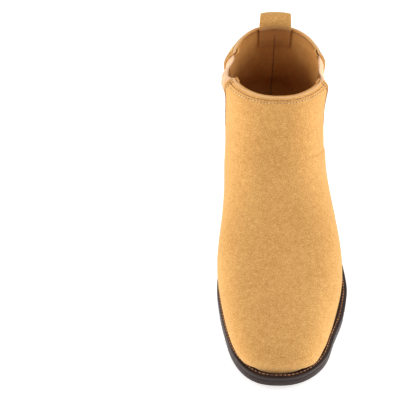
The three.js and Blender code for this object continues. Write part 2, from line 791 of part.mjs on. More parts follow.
// A layer of the heel between two heights, each a function of the distance from the toe. Its
// outline draws in towards the ground.
function heelPlate(low, high) {
  const corner = (height, side, share) => {
    const rough = lerp(breast, sole.length, share);
    const inset = heel.taper * (1 - height(rough) / heel.backHeight);
    const y = lerp(breast, sole.length - inset - 0.1, share);
    const x = halfWidth(side, y, inset) * (side === LATERAL ? 1 : -1);
    return new THREE.Vector3(x, y, height(y));
  };
  const steps = 16;
  const shares = Array.from({ length: steps + 1 }, (_, i) => Math.sin((Math.PI * i) / steps / 2));
  return plateOf(
    shares.map((share) => [
      corner(low, LATERAL, share),
      corner(high, LATERAL, share),
      corner(high, MEDIAL, share),
      corner(low, MEDIAL, share),
    ]),
  );
}

function addHeel() {
  const halfBreast = (halfWidth(LATERAL, breast) + halfWidth(MEDIAL, breast)) / 2;
  const radius = (halfBreast ** 2 + heel.breastHollow ** 2) / (2 * heel.breastHollow);
  const hollow = solidOf(
    new THREE.CylinderGeometry(radius, radius, reach, 128)
      .rotateX(Math.PI / 2)
      .translate(0, breast + heel.breastHollow - radius, 0),
  );
  const addLayer = (name, low, high, material) =>
    add(name, heelPlate(low, high).subtract(hollow).subtract(nailHoles), material);
  const flat = (height) => () => height;
  const upperLift = heel.topPiece + 2 * gap + heel.lift;
  const wedgeBottom = upperLift + heel.lift + gap;
  addLayer("top_piece", flat(0), flat(heel.topPiece), materials.rubber);
  addLayer("heel_lift_lower", flat(heel.topPiece + gap), flat(upperLift - gap), materials.heel);
  addLayer("heel_lift_upper", flat(upperLift), flat(upperLift + heel.lift), materials.heel);
  addLayer("heel_wedge", flat(wedgeBottom), (y) => underside(y) - gap, materials.heel);
  nails.forEach((place, i) => add("heel_nail_" + (i + 1), nailSolid(place), materials.brass));
}

addLeatherAndLining();
addMiddle();
addBackAndTab();
addInside();
addSole();
addHeel();

// The origin is below the middle of the boot's box.
const middle = new THREE.Box3().setFromObject(boot).getCenter(new THREE.Vector3());
boot.position.set(-middle.x, -middle.y, 0);

export default boot;
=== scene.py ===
import json
import math
import bmesh
import bpy
import numpy as np
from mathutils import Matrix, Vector


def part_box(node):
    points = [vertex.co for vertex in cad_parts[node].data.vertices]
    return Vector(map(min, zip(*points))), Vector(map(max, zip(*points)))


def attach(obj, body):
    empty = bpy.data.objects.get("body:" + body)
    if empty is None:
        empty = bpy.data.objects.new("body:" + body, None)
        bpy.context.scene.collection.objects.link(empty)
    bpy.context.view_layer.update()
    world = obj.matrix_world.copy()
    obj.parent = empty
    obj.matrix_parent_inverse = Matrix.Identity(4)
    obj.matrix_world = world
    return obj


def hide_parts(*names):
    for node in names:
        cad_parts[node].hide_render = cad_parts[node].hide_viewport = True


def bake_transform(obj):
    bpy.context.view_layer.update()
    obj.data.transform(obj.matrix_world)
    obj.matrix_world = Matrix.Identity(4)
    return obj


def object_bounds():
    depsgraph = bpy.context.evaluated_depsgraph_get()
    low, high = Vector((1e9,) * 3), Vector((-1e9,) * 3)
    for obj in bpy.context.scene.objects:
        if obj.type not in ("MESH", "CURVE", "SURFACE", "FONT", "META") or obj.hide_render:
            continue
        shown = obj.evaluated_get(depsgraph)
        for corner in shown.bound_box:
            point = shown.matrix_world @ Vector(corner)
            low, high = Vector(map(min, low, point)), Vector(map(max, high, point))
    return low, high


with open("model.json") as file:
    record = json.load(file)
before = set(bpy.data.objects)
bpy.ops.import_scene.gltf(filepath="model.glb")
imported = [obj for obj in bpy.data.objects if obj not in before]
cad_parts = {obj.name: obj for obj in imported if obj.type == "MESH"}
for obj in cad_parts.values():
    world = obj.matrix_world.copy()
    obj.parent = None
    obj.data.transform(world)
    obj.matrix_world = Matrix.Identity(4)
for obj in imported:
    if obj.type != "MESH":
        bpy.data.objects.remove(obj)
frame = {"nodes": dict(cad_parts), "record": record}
cadLow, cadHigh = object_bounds()
print("frame loaded:", len(frame["nodes"]), "nodes")

# Boot coordinates are millimetres: x to the outer side of the foot, y back from the tip of the
# toe, z up. The middle of the pull loop is x = 0, and the sole's front edge is y = 0.1.
mm = 0.001
loopLow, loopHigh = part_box("pull_loop")
origin = np.array([(loopLow.x + loopHigh.x) / 2, cadLow.y - 0.1 * mm, 0])


def placed(points):
    return np.asarray(points, float) * mm + origin


def curveThrough(points):  # smooth, and never beyond its points
    xs, ys = np.array(points, float).T
    rise = np.diff(ys) / np.diff(xs)
    before, after = rise[:-1], rise[1:]
    turning = before * after <= 0
    slope = np.empty(len(xs))
    slope[0], slope[-1] = rise[0], rise[-1]
    slope[1:-1] = np.where(turning, 0, 2 * before * after / np.where(turning, 1, before + after))

    def value(at):
        at = np.clip(at, xs[0], xs[-1])
        i = np.clip(np.searchsorted(xs, at) - 1, 0, len(xs) - 2)
        span = xs[i + 1] - xs[i]
        s = (at - xs[i]) / span
        low = (1 + 2 * s) * (1 - s) ** 2 * ys[i] + s * (1 - s) ** 2 * span * slope[i]
        return low + s * s * (3 - 2 * s) * ys[i + 1] + s * s * (s - 1) * span * slope[i + 1]

    return value


def eased(value, low, high):  # 0 below low, 1 above high
    s = np.clip((value - low) / (high - low), 0, 1)
    return s * s * (3 - 2 * s)


def mix(a, b, share):
    return a + (b - a) * share


def travelled(points):  # distance along each row of points, from 0
    steps = np.linalg.norm(np.diff(points, axis=-2), axis=-1)
    return np.concatenate([np.zeros((*steps.shape[:-1], 1)), np.cumsum(steps, axis=-1)], -1)


def evenly(line, count):  # points a steady distance apart along a flat line
    travel = travelled(line)
    even = np.linspace(0, travel[-1], count)
    return np.stack([np.interp(even, travel, line[:, i]) for i in (0, 1)], -1)


def leftOf(line):  # unit directions to the left of a flat line
    tangent = np.gradient(line, axis=0)
    tangent /= np.linalg.norm(tangent, axis=-1, keepdims=True)
    return np.stack([-tangent[:, 1], tangent[:, 0]], -1)


sole = {
    "length": 302, "toeWidth": 62, "ballWidth": 106.6, "waistWidth": 65, "heelWidth": 75,
    "toeRounding": 40, "heelRounding": 38, "thickness": 5.5, "toeSpring": 8,
    "flatStart": 84, "flatEnd": 104, "edgeRounding": 0.7,
    "grooveInset": 9, "grooveWidth": 1.8, "grooveDepth": 0.8,
}
heel = {
    "length": 70, "breastHeight": 20.5, "backHeight": 26, "taper": 1.6, "breastHollow": 3,
    "topPiece": 6, "lift": 5, "edgeRounding": 0.45,
    "pressed": 0.12,  # space between lifts that are pressed together
}
welt = {
    "thickness": 3, "end": 4, "toeReveal": 5.5, "waistReveal": 3.4, "seatReveal": 1.8,
    "inner": 3, "innerShift": 2.2, "edgeRounding": 0.5,
}
gap = 0.3
breast = sole["length"] - heel["length"]
weltEnd = breast + welt["end"]
seatSlope = (heel["backHeight"] - heel["breastHeight"]) / heel["length"]


def underside(y):  # height of the sole's lowest line above the ground
    y = np.asarray(y, float)
    toe = sole["toeSpring"] * (1 - np.minimum(y, sole["flatStart"]) / sole["flatStart"]) ** 1.8
    span = breast - sole["flatEnd"]
    s = np.clip((y - sole["flatEnd"]) / span, 0, 1)
    waist = heel["breastHeight"] * s * s * (3 - 2 * s) + seatSlope * span * s * s * (s - 1)
    seat = heel["breastHeight"] + seatSlope * (y - breast)
    return np.where(y < sole["flatStart"], toe, np.where(y > breast, seat, waist))


toeW, ballW, waistW, heelW = (sole[k] for k in ("toeWidth", "ballWidth", "waistWidth", "heelWidth"))
plan = [  # share of the length, half width on the outer side, half width on the inner side
    (0, toeW * 0.53, toeW * 0.47),
    (0.066, toeW * 0.63, toeW * 0.52),
    (0.15, toeW * 0.74, toeW * 0.61),
    (0.25, ballW * 0.525, ballW * 0.406),
    (0.348, ballW * 0.568, ballW * 0.432),
    (0.45, ballW * 0.54, ballW * 0.392),
    (0.563, ballW * 0.464, ballW * 0.3),
    (0.68, waistW * 0.64, waistW * 0.425),
    (0.795, waistW * 0.572, waistW * 0.49),
    (0.877, heelW * 0.513, heelW * 0.48),
    (1, heelW * 0.533, heelW * 0.467),
]
lateral, medial = 0, 1
planSides = [curveThrough([(row[0], row[side]) for row in plan]) for side in (1, 2)]


def roundedEnd(distance, reach, power):
    s = np.clip(1 - np.maximum(distance, 0) / reach, 0, 1)
    return (1 - s**power) ** (1 / power)


def halfWidth(side, y, inset=0.0):  # of the sole's outline
    toeEnd = roundedEnd(y - inset, sole["toeRounding"], 2.5)
    heelEnd = roundedEnd(sole["length"] - inset - y, sole["heelRounding"], 2.2)
    return np.maximum(planSides[side](y / sole["length"]) - inset, 0) * toeEnd * heelEnd


reveal = curveThrough([
    (0, welt["toeReveal"]), (sole["flatEnd"], welt["toeReveal"]),
    (weltEnd - 40, welt["waistReveal"]), (sole["length"], welt["seatReveal"]),
])
toeEdge = welt["toeReveal"]


def upperReveal(side, y):  # the upper sits nearer to the edge on the inner side of the forefoot
    nearer = welt["innerShift"] * eased(y, 8, 40) * (1 - eased(y, 130, 215))
    return reveal(y) - (nearer if side == medial else 0)


heelEdge = sole["length"] - welt["seatReveal"]
weltLevel = sole["thickness"] + gap
seatLevel = weltLevel + welt["thickness"] + gap
insoleThickness = 3


def seatHeight(y):  # where the upper stands on the welt
    return underside(y) + seatLevel


upper = {
    "leather": 1.6, "middle": 1.2, "lining": 1.2, "toeBox": 24, "ballRidge": 45.5, "instep": 98.5,
    "frontTop": 143.5, "backTop": 147, "backSetIn": 21, "openingLength": 100, "openingWidth": 71,
    "ankleWidth": 82, "ankleRise": 30, "outerSpread": 8, "innerSpread": 4,
    "topWall": 0.15,  # space between leather and lining where they meet at the top edge
    "gap": 0.12,  # between the layers
    "pressedIn": 0.22,  # how far the layers reach into the welt's side
    "sideRounding": 0.75,  # power of the cosine that rounds the sections of the foot
    "rowLength": 1.7,
    "paleEdge": 0.55,  # how much the cut edge of the leather shows along the top
}
backTopY = sole["length"] - upper["backSetIn"]
frontTopY = backTopY - upper["openingLength"]
seatBack = float(seatHeight(heelEdge))
backCurve = curveThrough([
    (seatBack, heelEdge), (seatBack + 20, sole["length"]), (seatBack + 38, sole["length"] - 2.5),
    (mix(seatBack, upper["backTop"], 0.54), backTopY + 8),
    (mix(seatBack, upper["backTop"], 0.78), backTopY + 2), (upper["backTop"], backTopY),
])
toeCorner = 22
run = heelEdge - toeCorner


def lowerEnd(along):  # along the welt from 0 to 1, then up the back of the heel from 1 to 2
    y = toeCorner + run * np.minimum(along, 1)
    backZ = mix(seatBack, upper["backTop"], along - 1)
    up = along > 1
    return np.where(up, backCurve(backZ), y), np.where(up, backZ, seatHeight(y))


ballY = (sole["flatStart"] + sole["flatEnd"]) / 2
toeTop = float(seatHeight(toeEdge)) + upper["toeBox"]
ballTop = float(seatHeight(ballY)) + upper["ballRidge"]


def ridge(share, height):  # a point of the instep between the ball and the shaft
    return frontTopY * share, mix(ballTop, upper["instep"], height)


def shaftZ(share):
    return mix(upper["instep"], upper["frontTop"], share)


# Sections from the edge of the toe to the top edge: ridge point, lower end, half widths midway
# up as shares of the width on the welt, depth, and how much of the shaft's width takes over.
box = upper["toeBox"]
keySections = [
    (toeEdge, float(seatHeight(toeEdge)), 0, 0.78, 0.78, 1, 0),
    (toeEdge - 1.5, toeTop - box * 0.55, 0.018, 0.8, 0.84, 1, 0),
    (toeEdge + 4, toeTop - box * 0.14, 0.0503, 0.79, 0.87, 1, 0),
    (frontTopY * 0.14, toeTop + 2.5, 0.1078, 0.78, 0.9, 1, 0),
    (frontTopY * 0.29, (toeTop + ballTop) / 2 - 1, 0.187, 0.81, 0.93, 1, 0),
    (*ridge(0.47, 0), 0.2876, 0.87, 0.98, 1, 0),
    (*ridge(0.64, 0.29), 0.435, 0.95, 1.14, 1.05, 0),
    (*ridge(0.77, 0.618), 0.6255, 1.14, 1.6, 1.25, 0.35),
    (*ridge(0.845, 0.865), 0.805, 1.2, 1.4, 1.55, 0.85),
    (*ridge(0.86, 0.925), 1 - 25 / run, 1, 1, 1.75, 1),
    (*ridge(0.872, 0.977), 1 - 8 / run, 1, 1, 1.9, 1),
    (frontTopY * 0.877, shaftZ(0), 1, 1, 1, 2, 1),
    (frontTopY * 0.925, shaftZ(0.235), 1.22, 1, 1, 2, 1),
    (frontTopY * 0.965, shaftZ(0.51), 1.5, 1, 1, 2, 1),
    (frontTopY * 0.99, shaftZ(0.79), 1.78, 1, 1, 2, 1),
    (frontTopY, shaftZ(1), 2, 1, 1, 2, 1),
]
lastKey = len(keySections) - 1
backKey = 11  # from here on the sections end on the back of the boot
ridgeYAt, ridgeZAt, endAt, outerAt, innerAt, depthAt, shaftAt = (
    curveThrough([(i, row[column]) for i, row in enumerate(keySections)]) for column in range(7)
)
# How far the widths of neighbouring sections are averaged.
easingAt = curveThrough([(0, 0.02), (0.5, 0.4), (2, 0.9), (3.5, 0.9), (5, 0.5), (6.5, 0.35),
                         (8, 0.35), (9.5, 0.7), (11, 1), (12.5, 0.9), (14, 0.5), (15, 0.02)])
shaftRows = [
    (seatBack, heelW * 0.5, heelW * 0.47),
    (upper["instep"] * 0.62, upper["ankleWidth"] * 0.5, upper["ankleWidth"] * 0.485),
    (upper["instep"], upper["ankleWidth"] * 0.49, upper["ankleWidth"] * 0.5),
    (shaftZ(0.5), upper["ankleWidth"] * 0.495, upper["ankleWidth"] * 0.525),
    (shaftZ(0.75), upper["ankleWidth"] * 0.53, upper["ankleWidth"] * 0.55),
    (upper["backTop"], upper["openingWidth"] * 0.51, upper["openingWidth"] * 0.49),
]
shaftSides = [curveThrough([(row[0], row[side]) for row in shaftRows]) for side in (1, 2)]
shaftRounding = upper["openingLength"] / 2
spread = [upper["outerSpread"], upper["innerSpread"]]


def shaftWidth(onMedial, y, z, fromRidge):
    rise = eased(z - seatHeight(y), 0, upper["ankleRise"])
    onSole, onShaft, more = (
        np.where(onMedial, values[medial], values[lateral])
        for values in ([f(y / sole["length"]) for f in planSides], [f(z) for f in shaftSides], spread)
    )
    ahead = 1 - eased(y, ballY + 50, weltEnd + 10)
    low = 1 - eased(z, upper["instep"] * 0.5, upper["instep"] * 1.2)
    width = mix(onSole - reveal(y), onShaft + more * ahead * low, rise)
    back = mix(sole["heelRounding"], shaftRounding, rise)
    return width * roundedEnd(fromRidge, shaftRounding, 2.3) * roundedEnd(backCurve(z) - y, back, 2.2)


def sideLine(key, rise):  # where a section runs in side view
    endY, endZ = lowerEnd(endAt(key))
    return mix(endY, ridgeYAt(key), rise), mix(endZ, ridgeZAt(key), rise)


def upperOutline(side, y):
    return halfWidth(side, y, upperReveal(side, y))


def rawWidth(onMedial, key, angle):
    endY = lowerEnd(endAt(key))[0]
    edge = np.where(onMedial, *(upperOutline(side, endY) for side in (medial, lateral)))
    midway = np.where(onMedial, innerAt(key), outerAt(key))
    power = upper["sideRounding"]
    belly = edge * (midway - math.cos(math.pi / 4) ** power)
    onFoot = edge * np.maximum(np.cos(angle), 0) ** power + belly * np.sin(2 * angle)
    if key.max() <= 6:
        return onFoot
    y, z = sideLine(key, np.sin(angle) ** depthAt(key))
    onShaft = shaftWidth(onMedial, y, z, np.hypot(ridgeYAt(key) - y, ridgeZAt(key) - z))
    return mix(onFoot, onShaft, shaftAt(key))


smoothing = (1, 6, 15, 20, 15, 6, 1)  # weights of neighbouring sections, which spread by 1.2247


def skinPoint(key, turn):
    # turn goes from 0 at the lateral lower end over the ridge to pi at the medial one, and past
    # pi it comes round the back to the lateral side again.
    key, turn = np.asarray(key, float), np.asarray(turn, float)
    turn = np.where(turn > math.pi + 1e-9, turn - math.pi, turn)
    onMedial = turn > math.pi / 2
    angle = np.clip(np.where(onMedial, math.pi - turn, turn), 0, math.pi / 2)
    reach = np.minimum(easingAt(key), np.minimum(key, lastKey - key) / 2.45) / 1.2247
    reach = reach * mix(1, eased(angle, 0, 0.35), eased(key, 7, 9))  # the heel's edge stays sharp
    width = 0
    for offset, weight in zip(range(-3, 4), smoothing):
        width = width + rawWidth(onMedial, key + offset * reach, angle) * weight / sum(smoothing)
    y, z = sideLine(key, np.sin(angle) ** depthAt(key))
    if key.min() < 0.5:
        onEdge = np.where(onMedial, *(upperOutline(side, y) for side in (medial, lateral)))
        width = mix(onEdge, width, eased(key, 0, 0.5))
    width = np.where(angle > math.pi / 2 - 1e-6, 0, width)
    return np.stack(np.broadcast_arrays(np.where(onMedial, -width, width), y, z), -1)


def uprightNormals(normal, here, key):  # level at the welt and at the top edge
    level = eased(here[..., 2] - seatHeight(here[..., 1]), 0, 6)
    normal[..., 2] *= level * (1 - eased(key, lastKey - 0.7, lastKey))
    return normal / np.maximum(np.linalg.norm(normal, axis=-1, keepdims=True), 1e-9)


def outwards(key, turn, step=0.004):  # directions out of the surface at single places
    key, turn = np.broadcast_arrays(np.asarray(key, float), np.asarray(turn, float))
    low = np.where(key >= backKey, turn - step, np.maximum(turn - step, 0))
    low = np.where(low < 0, low + math.pi, low)
    high = np.where(key >= backKey, turn + step, np.minimum(turn + step, math.pi))
    along = skinPoint(np.minimum(key + step, lastKey), turn) - skinPoint(np.maximum(key - step, 0), turn)
    across = skinPoint(key, high) - skinPoint(key, low)
    return uprightNormals(np.cross(along, across), skinPoint(key, turn), key)


def surfaceGrid(keys, turns):  # points of the surface on rows of keys, with their directions out
    points = skinPoint(keys[:, None], turns)
    normals = np.cross(np.gradient(points, axis=0), np.gradient(points, axis=1))
    middle = (np.minimum(turns, np.abs(math.pi - turns)) < 0.004) & (keys[:, None] >= backKey)
    normals[..., 0] = np.where(middle, 0, normals[..., 0])
    return points, uprightNormals(normals, points, keys[:, None])


pattern = {
    "gussetTopWidth": 34, "gussetBottomWidth": 22, "gussetBottom": 82, "gussetDip": 1.2,
    "gussetStart": 26, "gussetLean": 12, "gussetMargin": 5, "seamFoot": 10, "toePuff": 62,
    "counterTop": 78, "counterLean": 12, "backstayWidth": 14, "backstayThickness": 1.2,
    "liningTurn": 14,  # below the top edge, where the lining starts to meet the leather
}
gussetFront = frontTopY + pattern["gussetStart"]
gussetFoot = gussetFront + pattern["gussetLean"]


def intoGusset(y, z, margin=0.0):  # above 0 inside the cut-out for the elastic
    rise = (z - pattern["gussetBottom"]) / (upper["frontTop"] - pattern["gussetBottom"])
    front = mix(gussetFoot, gussetFront, rise) - margin
    back = mix(gussetFoot + pattern["gussetBottomWidth"], gussetFront + pattern["gussetTopWidth"], rise)
    back = back + margin
    corner = pattern["gussetBottomWidth"] / 2 + margin
    up = np.clip((z - pattern["gussetBottom"] + margin) / corner, 0, 1)
    return (back - front) / 2 * np.sqrt(1 - (1 - up) ** 2) - np.abs(y - (front + back) / 2)


sampleRise = np.linspace(0, 1, 1401)


def crossing(key, margin):  # first and last share of each section inside the cut-out
    y, z = sideLine(key[:, None], sampleRise[None, :])
    depth = intoGusset(y, z, margin)
    inside = depth > 0
    found = inside.any(1)
    rows = np.arange(len(key))
    first = np.maximum(inside.argmax(1), 1)
    last = np.minimum(len(sampleRise) - 1 - inside[:, ::-1].argmax(1), len(sampleRise) - 2)
    step = sampleRise[1]

    def root(a, b):
        return sampleRise[a] + step * (b - a) * depth[rows, a] / (depth[rows, a] - depth[rows, b])

    return found, root(first - 1, first), root(last, last + 1)


def seamMeeting(margin=0.0):  # where the side seam runs into the bottom of the elastic
    keys = np.linspace(backKey, backKey + 2.5, 1500)
    found, first, last = crossing(keys, margin)
    i = found.argmax()
    y, z = sideLine(keys[i], (first[i] + last[i]) / 2)
    return float(y), float(z)


seamTop = seamMeeting()


def seamCrossing(key, top, shift):  # share of each section behind the side seam
    y, z = sideLine(key[:, None], sampleRise[None, :])
    seam = breast - pattern["seamFoot"] + (top[0] - breast + pattern["seamFoot"]) * z / top[1] + shift
    behind = y - seam > 0
    first = np.maximum((~behind).argmax(1), 1)
    rows = np.arange(len(key))
    d = y - seam
    a, b = d[rows, first - 1], d[rows, first]
    share = sampleRise[first - 1] + sampleRise[1] * np.where(behind[:, 0], a / (a - b), 0)
    return np.where(behind[:, 0], share, 0)


def patternEdges(key, margin=0.0, shift=0.0):
    # Shares of each section where the back pieces end and where the front one starts.
    top = seamTop if margin == 0 else seamMeeting(margin)
    found, first, last = crossing(key, margin)
    seam = seamCrossing(key, top, 0)
    seamBehind = seamCrossing(key, top, shift)
    return np.where(found, first, seamBehind), np.where(found, last, seam)


def angleOf(key, rise):
    return np.arcsin(np.clip(rise, 0, 1) ** (1 / depthAt(key)))


def rowKeys(low, high, length):  # sections a steady distance apart
    keys = np.linspace(low, high, 900)
    turns = np.linspace(0.05, math.pi - 0.05, 9)
    points = skinPoint(keys[:, None], turns[None, :])
    steps = np.linalg.norm(np.diff(points, axis=0), axis=-1).max(1)
    travel = np.concatenate([[0], np.cumsum(steps)])
    count = max(int(round(travel[-1] / length)), 2)
    return np.interp(np.linspace(0, travel[-1], count + 1), travel, keys)


def evenTurns(keys, start, end, columns):  # columns a steady distance apart along each section
    shares = np.linspace(0, 1, 81)
    turns = start[:, None] + (end - start)[:, None] * shares[None, :]
    travel = travelled(skinPoint(keys[:, None], turns))
    even = np.linspace(0, 1, columns)
    rows = []
    for i in range(len(keys)):
        length = travel[i, -1]
        known = travel[i] / length if length > 1e-9 else shares
        rows.append(np.interp(even, known, turns[i]))
    return np.array(rows)


def meshPiece(name, points, faces, edges=()):
    mesh = bpy.data.meshes.new(name)
    mesh.from_pydata(placed(points).tolist(), list(edges), faces)
    obj = bpy.data.objects.new(name, mesh)
    bpy.context.scene.collection.objects.link(obj)
    return obj


def smooth(obj):
    obj.data.polygons.foreach_set("use_smooth", [True] * len(obj.data.polygons))
    return obj


def cleaned(obj, distance=0.01):  # doubled points joined, and faces without area removed
    bm = bmesh.new()
    bm.from_mesh(obj.data)
    bmesh.ops.remove_doubles(bm, verts=bm.verts, dist=distance * mm)
    bmesh.ops.dissolve_degenerate(bm, edges=bm.edges, dist=distance * mm)
    bm.to_mesh(obj.data)
    bm.free()
    return smooth(obj)


def fixedNormals(obj):
    bm = bmesh.new()
    bm.from_mesh(obj.data)
    bmesh.ops.recalc_face_normals(bm, faces=bm.faces)
    bm.to_mesh(obj.data)
    bm.free()
    return obj


def placesOf(obj):  # its vertices in boot coordinates
    return (np.array([v.co for v in obj.data.vertices]) - origin) / mm


def painted(obj, name, values):  # a value at each vertex, which the material reads
    attribute = obj.data.attributes.new(name, "FLOAT", "POINT")
    attribute.data.foreach_set("value", np.asarray(values, np.float32))


def gridFaces(rows, columns, start=0, flipped=False, closed=False):  # between rows of points
    faces = []
    for i in range(rows - 1):
        for j in range(columns if closed else columns - 1):
            k = (j + 1) % columns
            a, b = start + i * columns + j, start + i * columns + k
            c, d = b + columns, a + columns
            faces.append((a, b, c, d) if flipped else (a, d, c, b))
    return faces


def shellPiece(name, outer, inner):  # a closed sheet between two grids of points
    rows, columns = outer.shape[:2]
    count = rows * columns
    faces = gridFaces(rows, columns) + gridFaces(rows, columns, count, flipped=True)
    rim = [(0, j) for j in range(columns)]
    rim += [(i, columns - 1) for i in range(1, rows)]
    rim += [(rows - 1, j) for j in range(columns - 2, -1, -1)]
    rim += [(i, 0) for i in range(rows - 2, 0, -1)]
    ring = [i * columns + j for i, j in rim]
    for a, b in zip(ring, ring[1:] + ring[:1]):
        faces.append((a, b, b + count, a + count))
    points = np.concatenate([outer.reshape(-1, 3), inner.reshape(-1, 3)])
    return cleaned(meshPiece(name, points, faces))


def beveled(obj, width, segments=2, angle=50):
    bevel = obj.modifiers.new("edges", "BEVEL")
    bevel.width = width * mm
    bevel.segments = segments
    bevel.limit_method = "ANGLE"
    bevel.angle_limit = math.radians(angle)
    bevel.use_clamp_overlap = True
    return obj


def applied(obj):  # the piece with its modifiers turned into plain mesh
    bpy.context.view_layer.update()
    evaluated = obj.evaluated_get(bpy.context.evaluated_depsgraph_get())
    mesh = bpy.data.meshes.new_from_object(evaluated)
    obj.modifiers.clear()
    obj.data = mesh
    return obj


def finished(obj, slot, *nodes, body="boot"):  # material, CAD nodes it stands for, and its body
    if not obj.data.materials:
        obj.data.materials.append(materials[slot])
    if nodes:
        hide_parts(*nodes)
    if body:
        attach(obj, body)
    return obj


def colour(code):  # sRGB hex to linear
    channels = [int(code[i:i + 2], 16) / 255 for i in (1, 3, 5)]
    return [c / 12.92 if c <= 0.04045 else ((c + 0.055) / 1.055) ** 2.4 for c in channels] + [1]


def perMm(size):  # the scale of a texture whose marks are a size in millimetres apart
    return 1 / (size * mm)


def addNode(tree, kind, values=None):  # values are settings, or the nodes or sockets to link from
    node = tree.nodes.new(kind)
    for key, value in (values or {}).items():
        if isinstance(value, bpy.types.Node):
            value = value.outputs[0]
        if isinstance(value, bpy.types.NodeSocket):
            tree.links.new(value, node.inputs[key])
        elif key == "stops":  # places and colours of a colour ramp
            elements = node.color_ramp.elements
            while len(elements) < len(value):
                elements.new(0.5)
            for element, (position, code) in zip(elements, value):
                element.position = position
                element.color = colour(code)
        elif isinstance(key, str) and hasattr(node, key):
            setattr(node, key, value)
        else:
            node.inputs[key].default_value = value
    return node


def newMaterial(name, settings):
    material = bpy.data.materials.new(name)
    material.use_nodes = True
    tree = material.node_tree
    tree.nodes.clear()
    shader = addNode(tree, "ShaderNodeBsdfPrincipled", settings)
    addNode(tree, "ShaderNodeOutputMaterial", {"Surface": shader})
    where = addNode(tree, "ShaderNodeTexCoord").outputs["Object"]
    return material, tree, shader, where


def driven(tree, shader, **sources):  # links what drives the shader's colour, normal or roughness
    names = {"base": "Base Color", "normal": "Normal", "roughness": "Roughness"}
    for key, source in sources.items():
        tree.links.new(source, shader.inputs[names[key]])


def suedeMaterial():
    # Split cowhide with its nap brushed up: the fibres lie in patches that catch the light
    # differently, and their tips glow at grazing angles.
    material, tree, shader, where = newMaterial("buffedSuede", {
        "Roughness": 0.92, "Specular IOR Level": 0.15, "Sheen Weight": 0.55,
        "Sheen Roughness": 0.45, "Sheen Tint": colour("#ffdfa8"),
    })
    marks = [  # size in millimetres, detail, roughness, colours; the real fibre tips are finer
        (38, 3, 0.5, [(0.36, "#c18744"), (0.64, "#cf9853")]),
        (4, 5, 0.65, [(0.36, "#b27838"), (0.64, "#dcaa65")]),
        (0.9, 3, 0.75, [(0.38, "#955c26"), (0.6, "#ecc27f")]),
    ]
    shades = []
    for size, detail, roughness, stops in marks:
        tips = addNode(tree, "ShaderNodeTexNoise", {
            "Scale": perMm(size), "Detail": detail, "Roughness": roughness, "Vector": where})
        shades.append(addNode(tree, "ShaderNodeValToRGB", {"stops": stops, "Fac": tips}))
    # painted shade: the strap's end inside the boot is mixed towards a darker tan (#b97d43)
    worn = addNode(tree, "ShaderNodeAttribute", {"attribute_name": "worn"}).outputs["Fac"]
    cut = addNode(tree, "ShaderNodeAttribute", {"attribute_name": "cutEdge"}).outputs["Fac"]
    base = shades[0]
    for share, over in ((0.38, shades[1]), (0.36, shades[2]), (worn, colour("#b97d43")),
                        (cut, colour("#e9bd92"))):
        mixed = addNode(tree, "ShaderNodeMix", {"data_type": "RGBA", 0: share, 6: base, 7: over})
        base = mixed.outputs[2]
    dents = addNode(tree, "ShaderNodeTexNoise", {"Scale": perMm(5), "Detail": 4, "Vector": where})
    soft = addNode(tree, "ShaderNodeBump", {"Strength": 0.4, "Distance": 0.35 * mm, "Height": dents})
    nap = addNode(tree, "ShaderNodeBump", {
        "Strength": 0.7, "Distance": 0.3 * mm, "Height": tips, "Normal": soft})
    driven(tree, shader, base=base, normal=nap.outputs[0])
    return material


def grainLeather(name, stops, roughness, grain, depth, gloss=0.5):
    # Full grain leather: small cells with fine creases between them, over slow changes of dye; the creases
    # carry painted shade.
    material, tree, shader, where = newMaterial(name, {
        "Roughness": roughness, "Specular IOR Level": gloss})
    dye = addNode(tree, "ShaderNodeTexNoise", {"Scale": perMm(25), "Detail": 4, "Vector": where})
    base = addNode(tree, "ShaderNodeValToRGB", {"stops": stops, "Fac": dye})
    cells = addNode(tree, "ShaderNodeTexVoronoi", {
        "feature": "DISTANCE_TO_EDGE", "Scale": perMm(grain), "Vector": where}).outputs["Distance"]
    # painted shade: the creases between the grain cells are darkened
    creases = addNode(tree, "ShaderNodeValToRGB", {
        "stops": [(0.0, "#8c8c8c"), (0.12, "#ffffff")], "Fac": cells})
    shaded = addNode(tree, "ShaderNodeMix", {
        "data_type": "RGBA", "blend_type": "MULTIPLY", 0: 0.5, 6: base, 7: creases})
    fine = addNode(tree, "ShaderNodeBump", {"Strength": 0.6, "Distance": depth * mm, "Height": cells})
    folds = addNode(tree, "ShaderNodeTexNoise", {
        "Scale": perMm(grain * 3), "Detail": 3, "Vector": where})
    slow = addNode(tree, "ShaderNodeBump", {
        "Strength": 0.4, "Distance": depth * 1.5 * mm, "Height": folds, "Normal": fine})
    driven(tree, shader, base=shaded.outputs[2], normal=slow.outputs[0])
    return material


def wovenMaterial(name, dark, light, pitch, depth):
    # Plain woven threads: rows of light and shade at the real spacing of the weave.
    material, tree, shader, where = newMaterial(name, {"Roughness": 0.9, "Sheen Weight": 0.2})
    bands = [addNode(tree, "ShaderNodeTexWave", {
        "bands_direction": axis, "Scale": math.pi / (10 * pitch * mm), "Distortion": 0.6,
        "Detail": 1.0, "Vector": where}).outputs["Fac"] for axis in ("Y", "Z")]
    weave = addNode(tree, "ShaderNodeMath", {"operation": "MULTIPLY", 0: bands[0], 1: bands[1]})
    base = addNode(tree, "ShaderNodeValToRGB", {"stops": [(0.05, dark), (0.6, light)], "Fac": weave})
    threads = addNode(tree, "ShaderNodeBump", {
        "Strength": 0.6, "Distance": depth * mm, "Height": weave})
    driven(tree, shader, base=base.outputs[0], normal=threads.outputs[0])
    return material


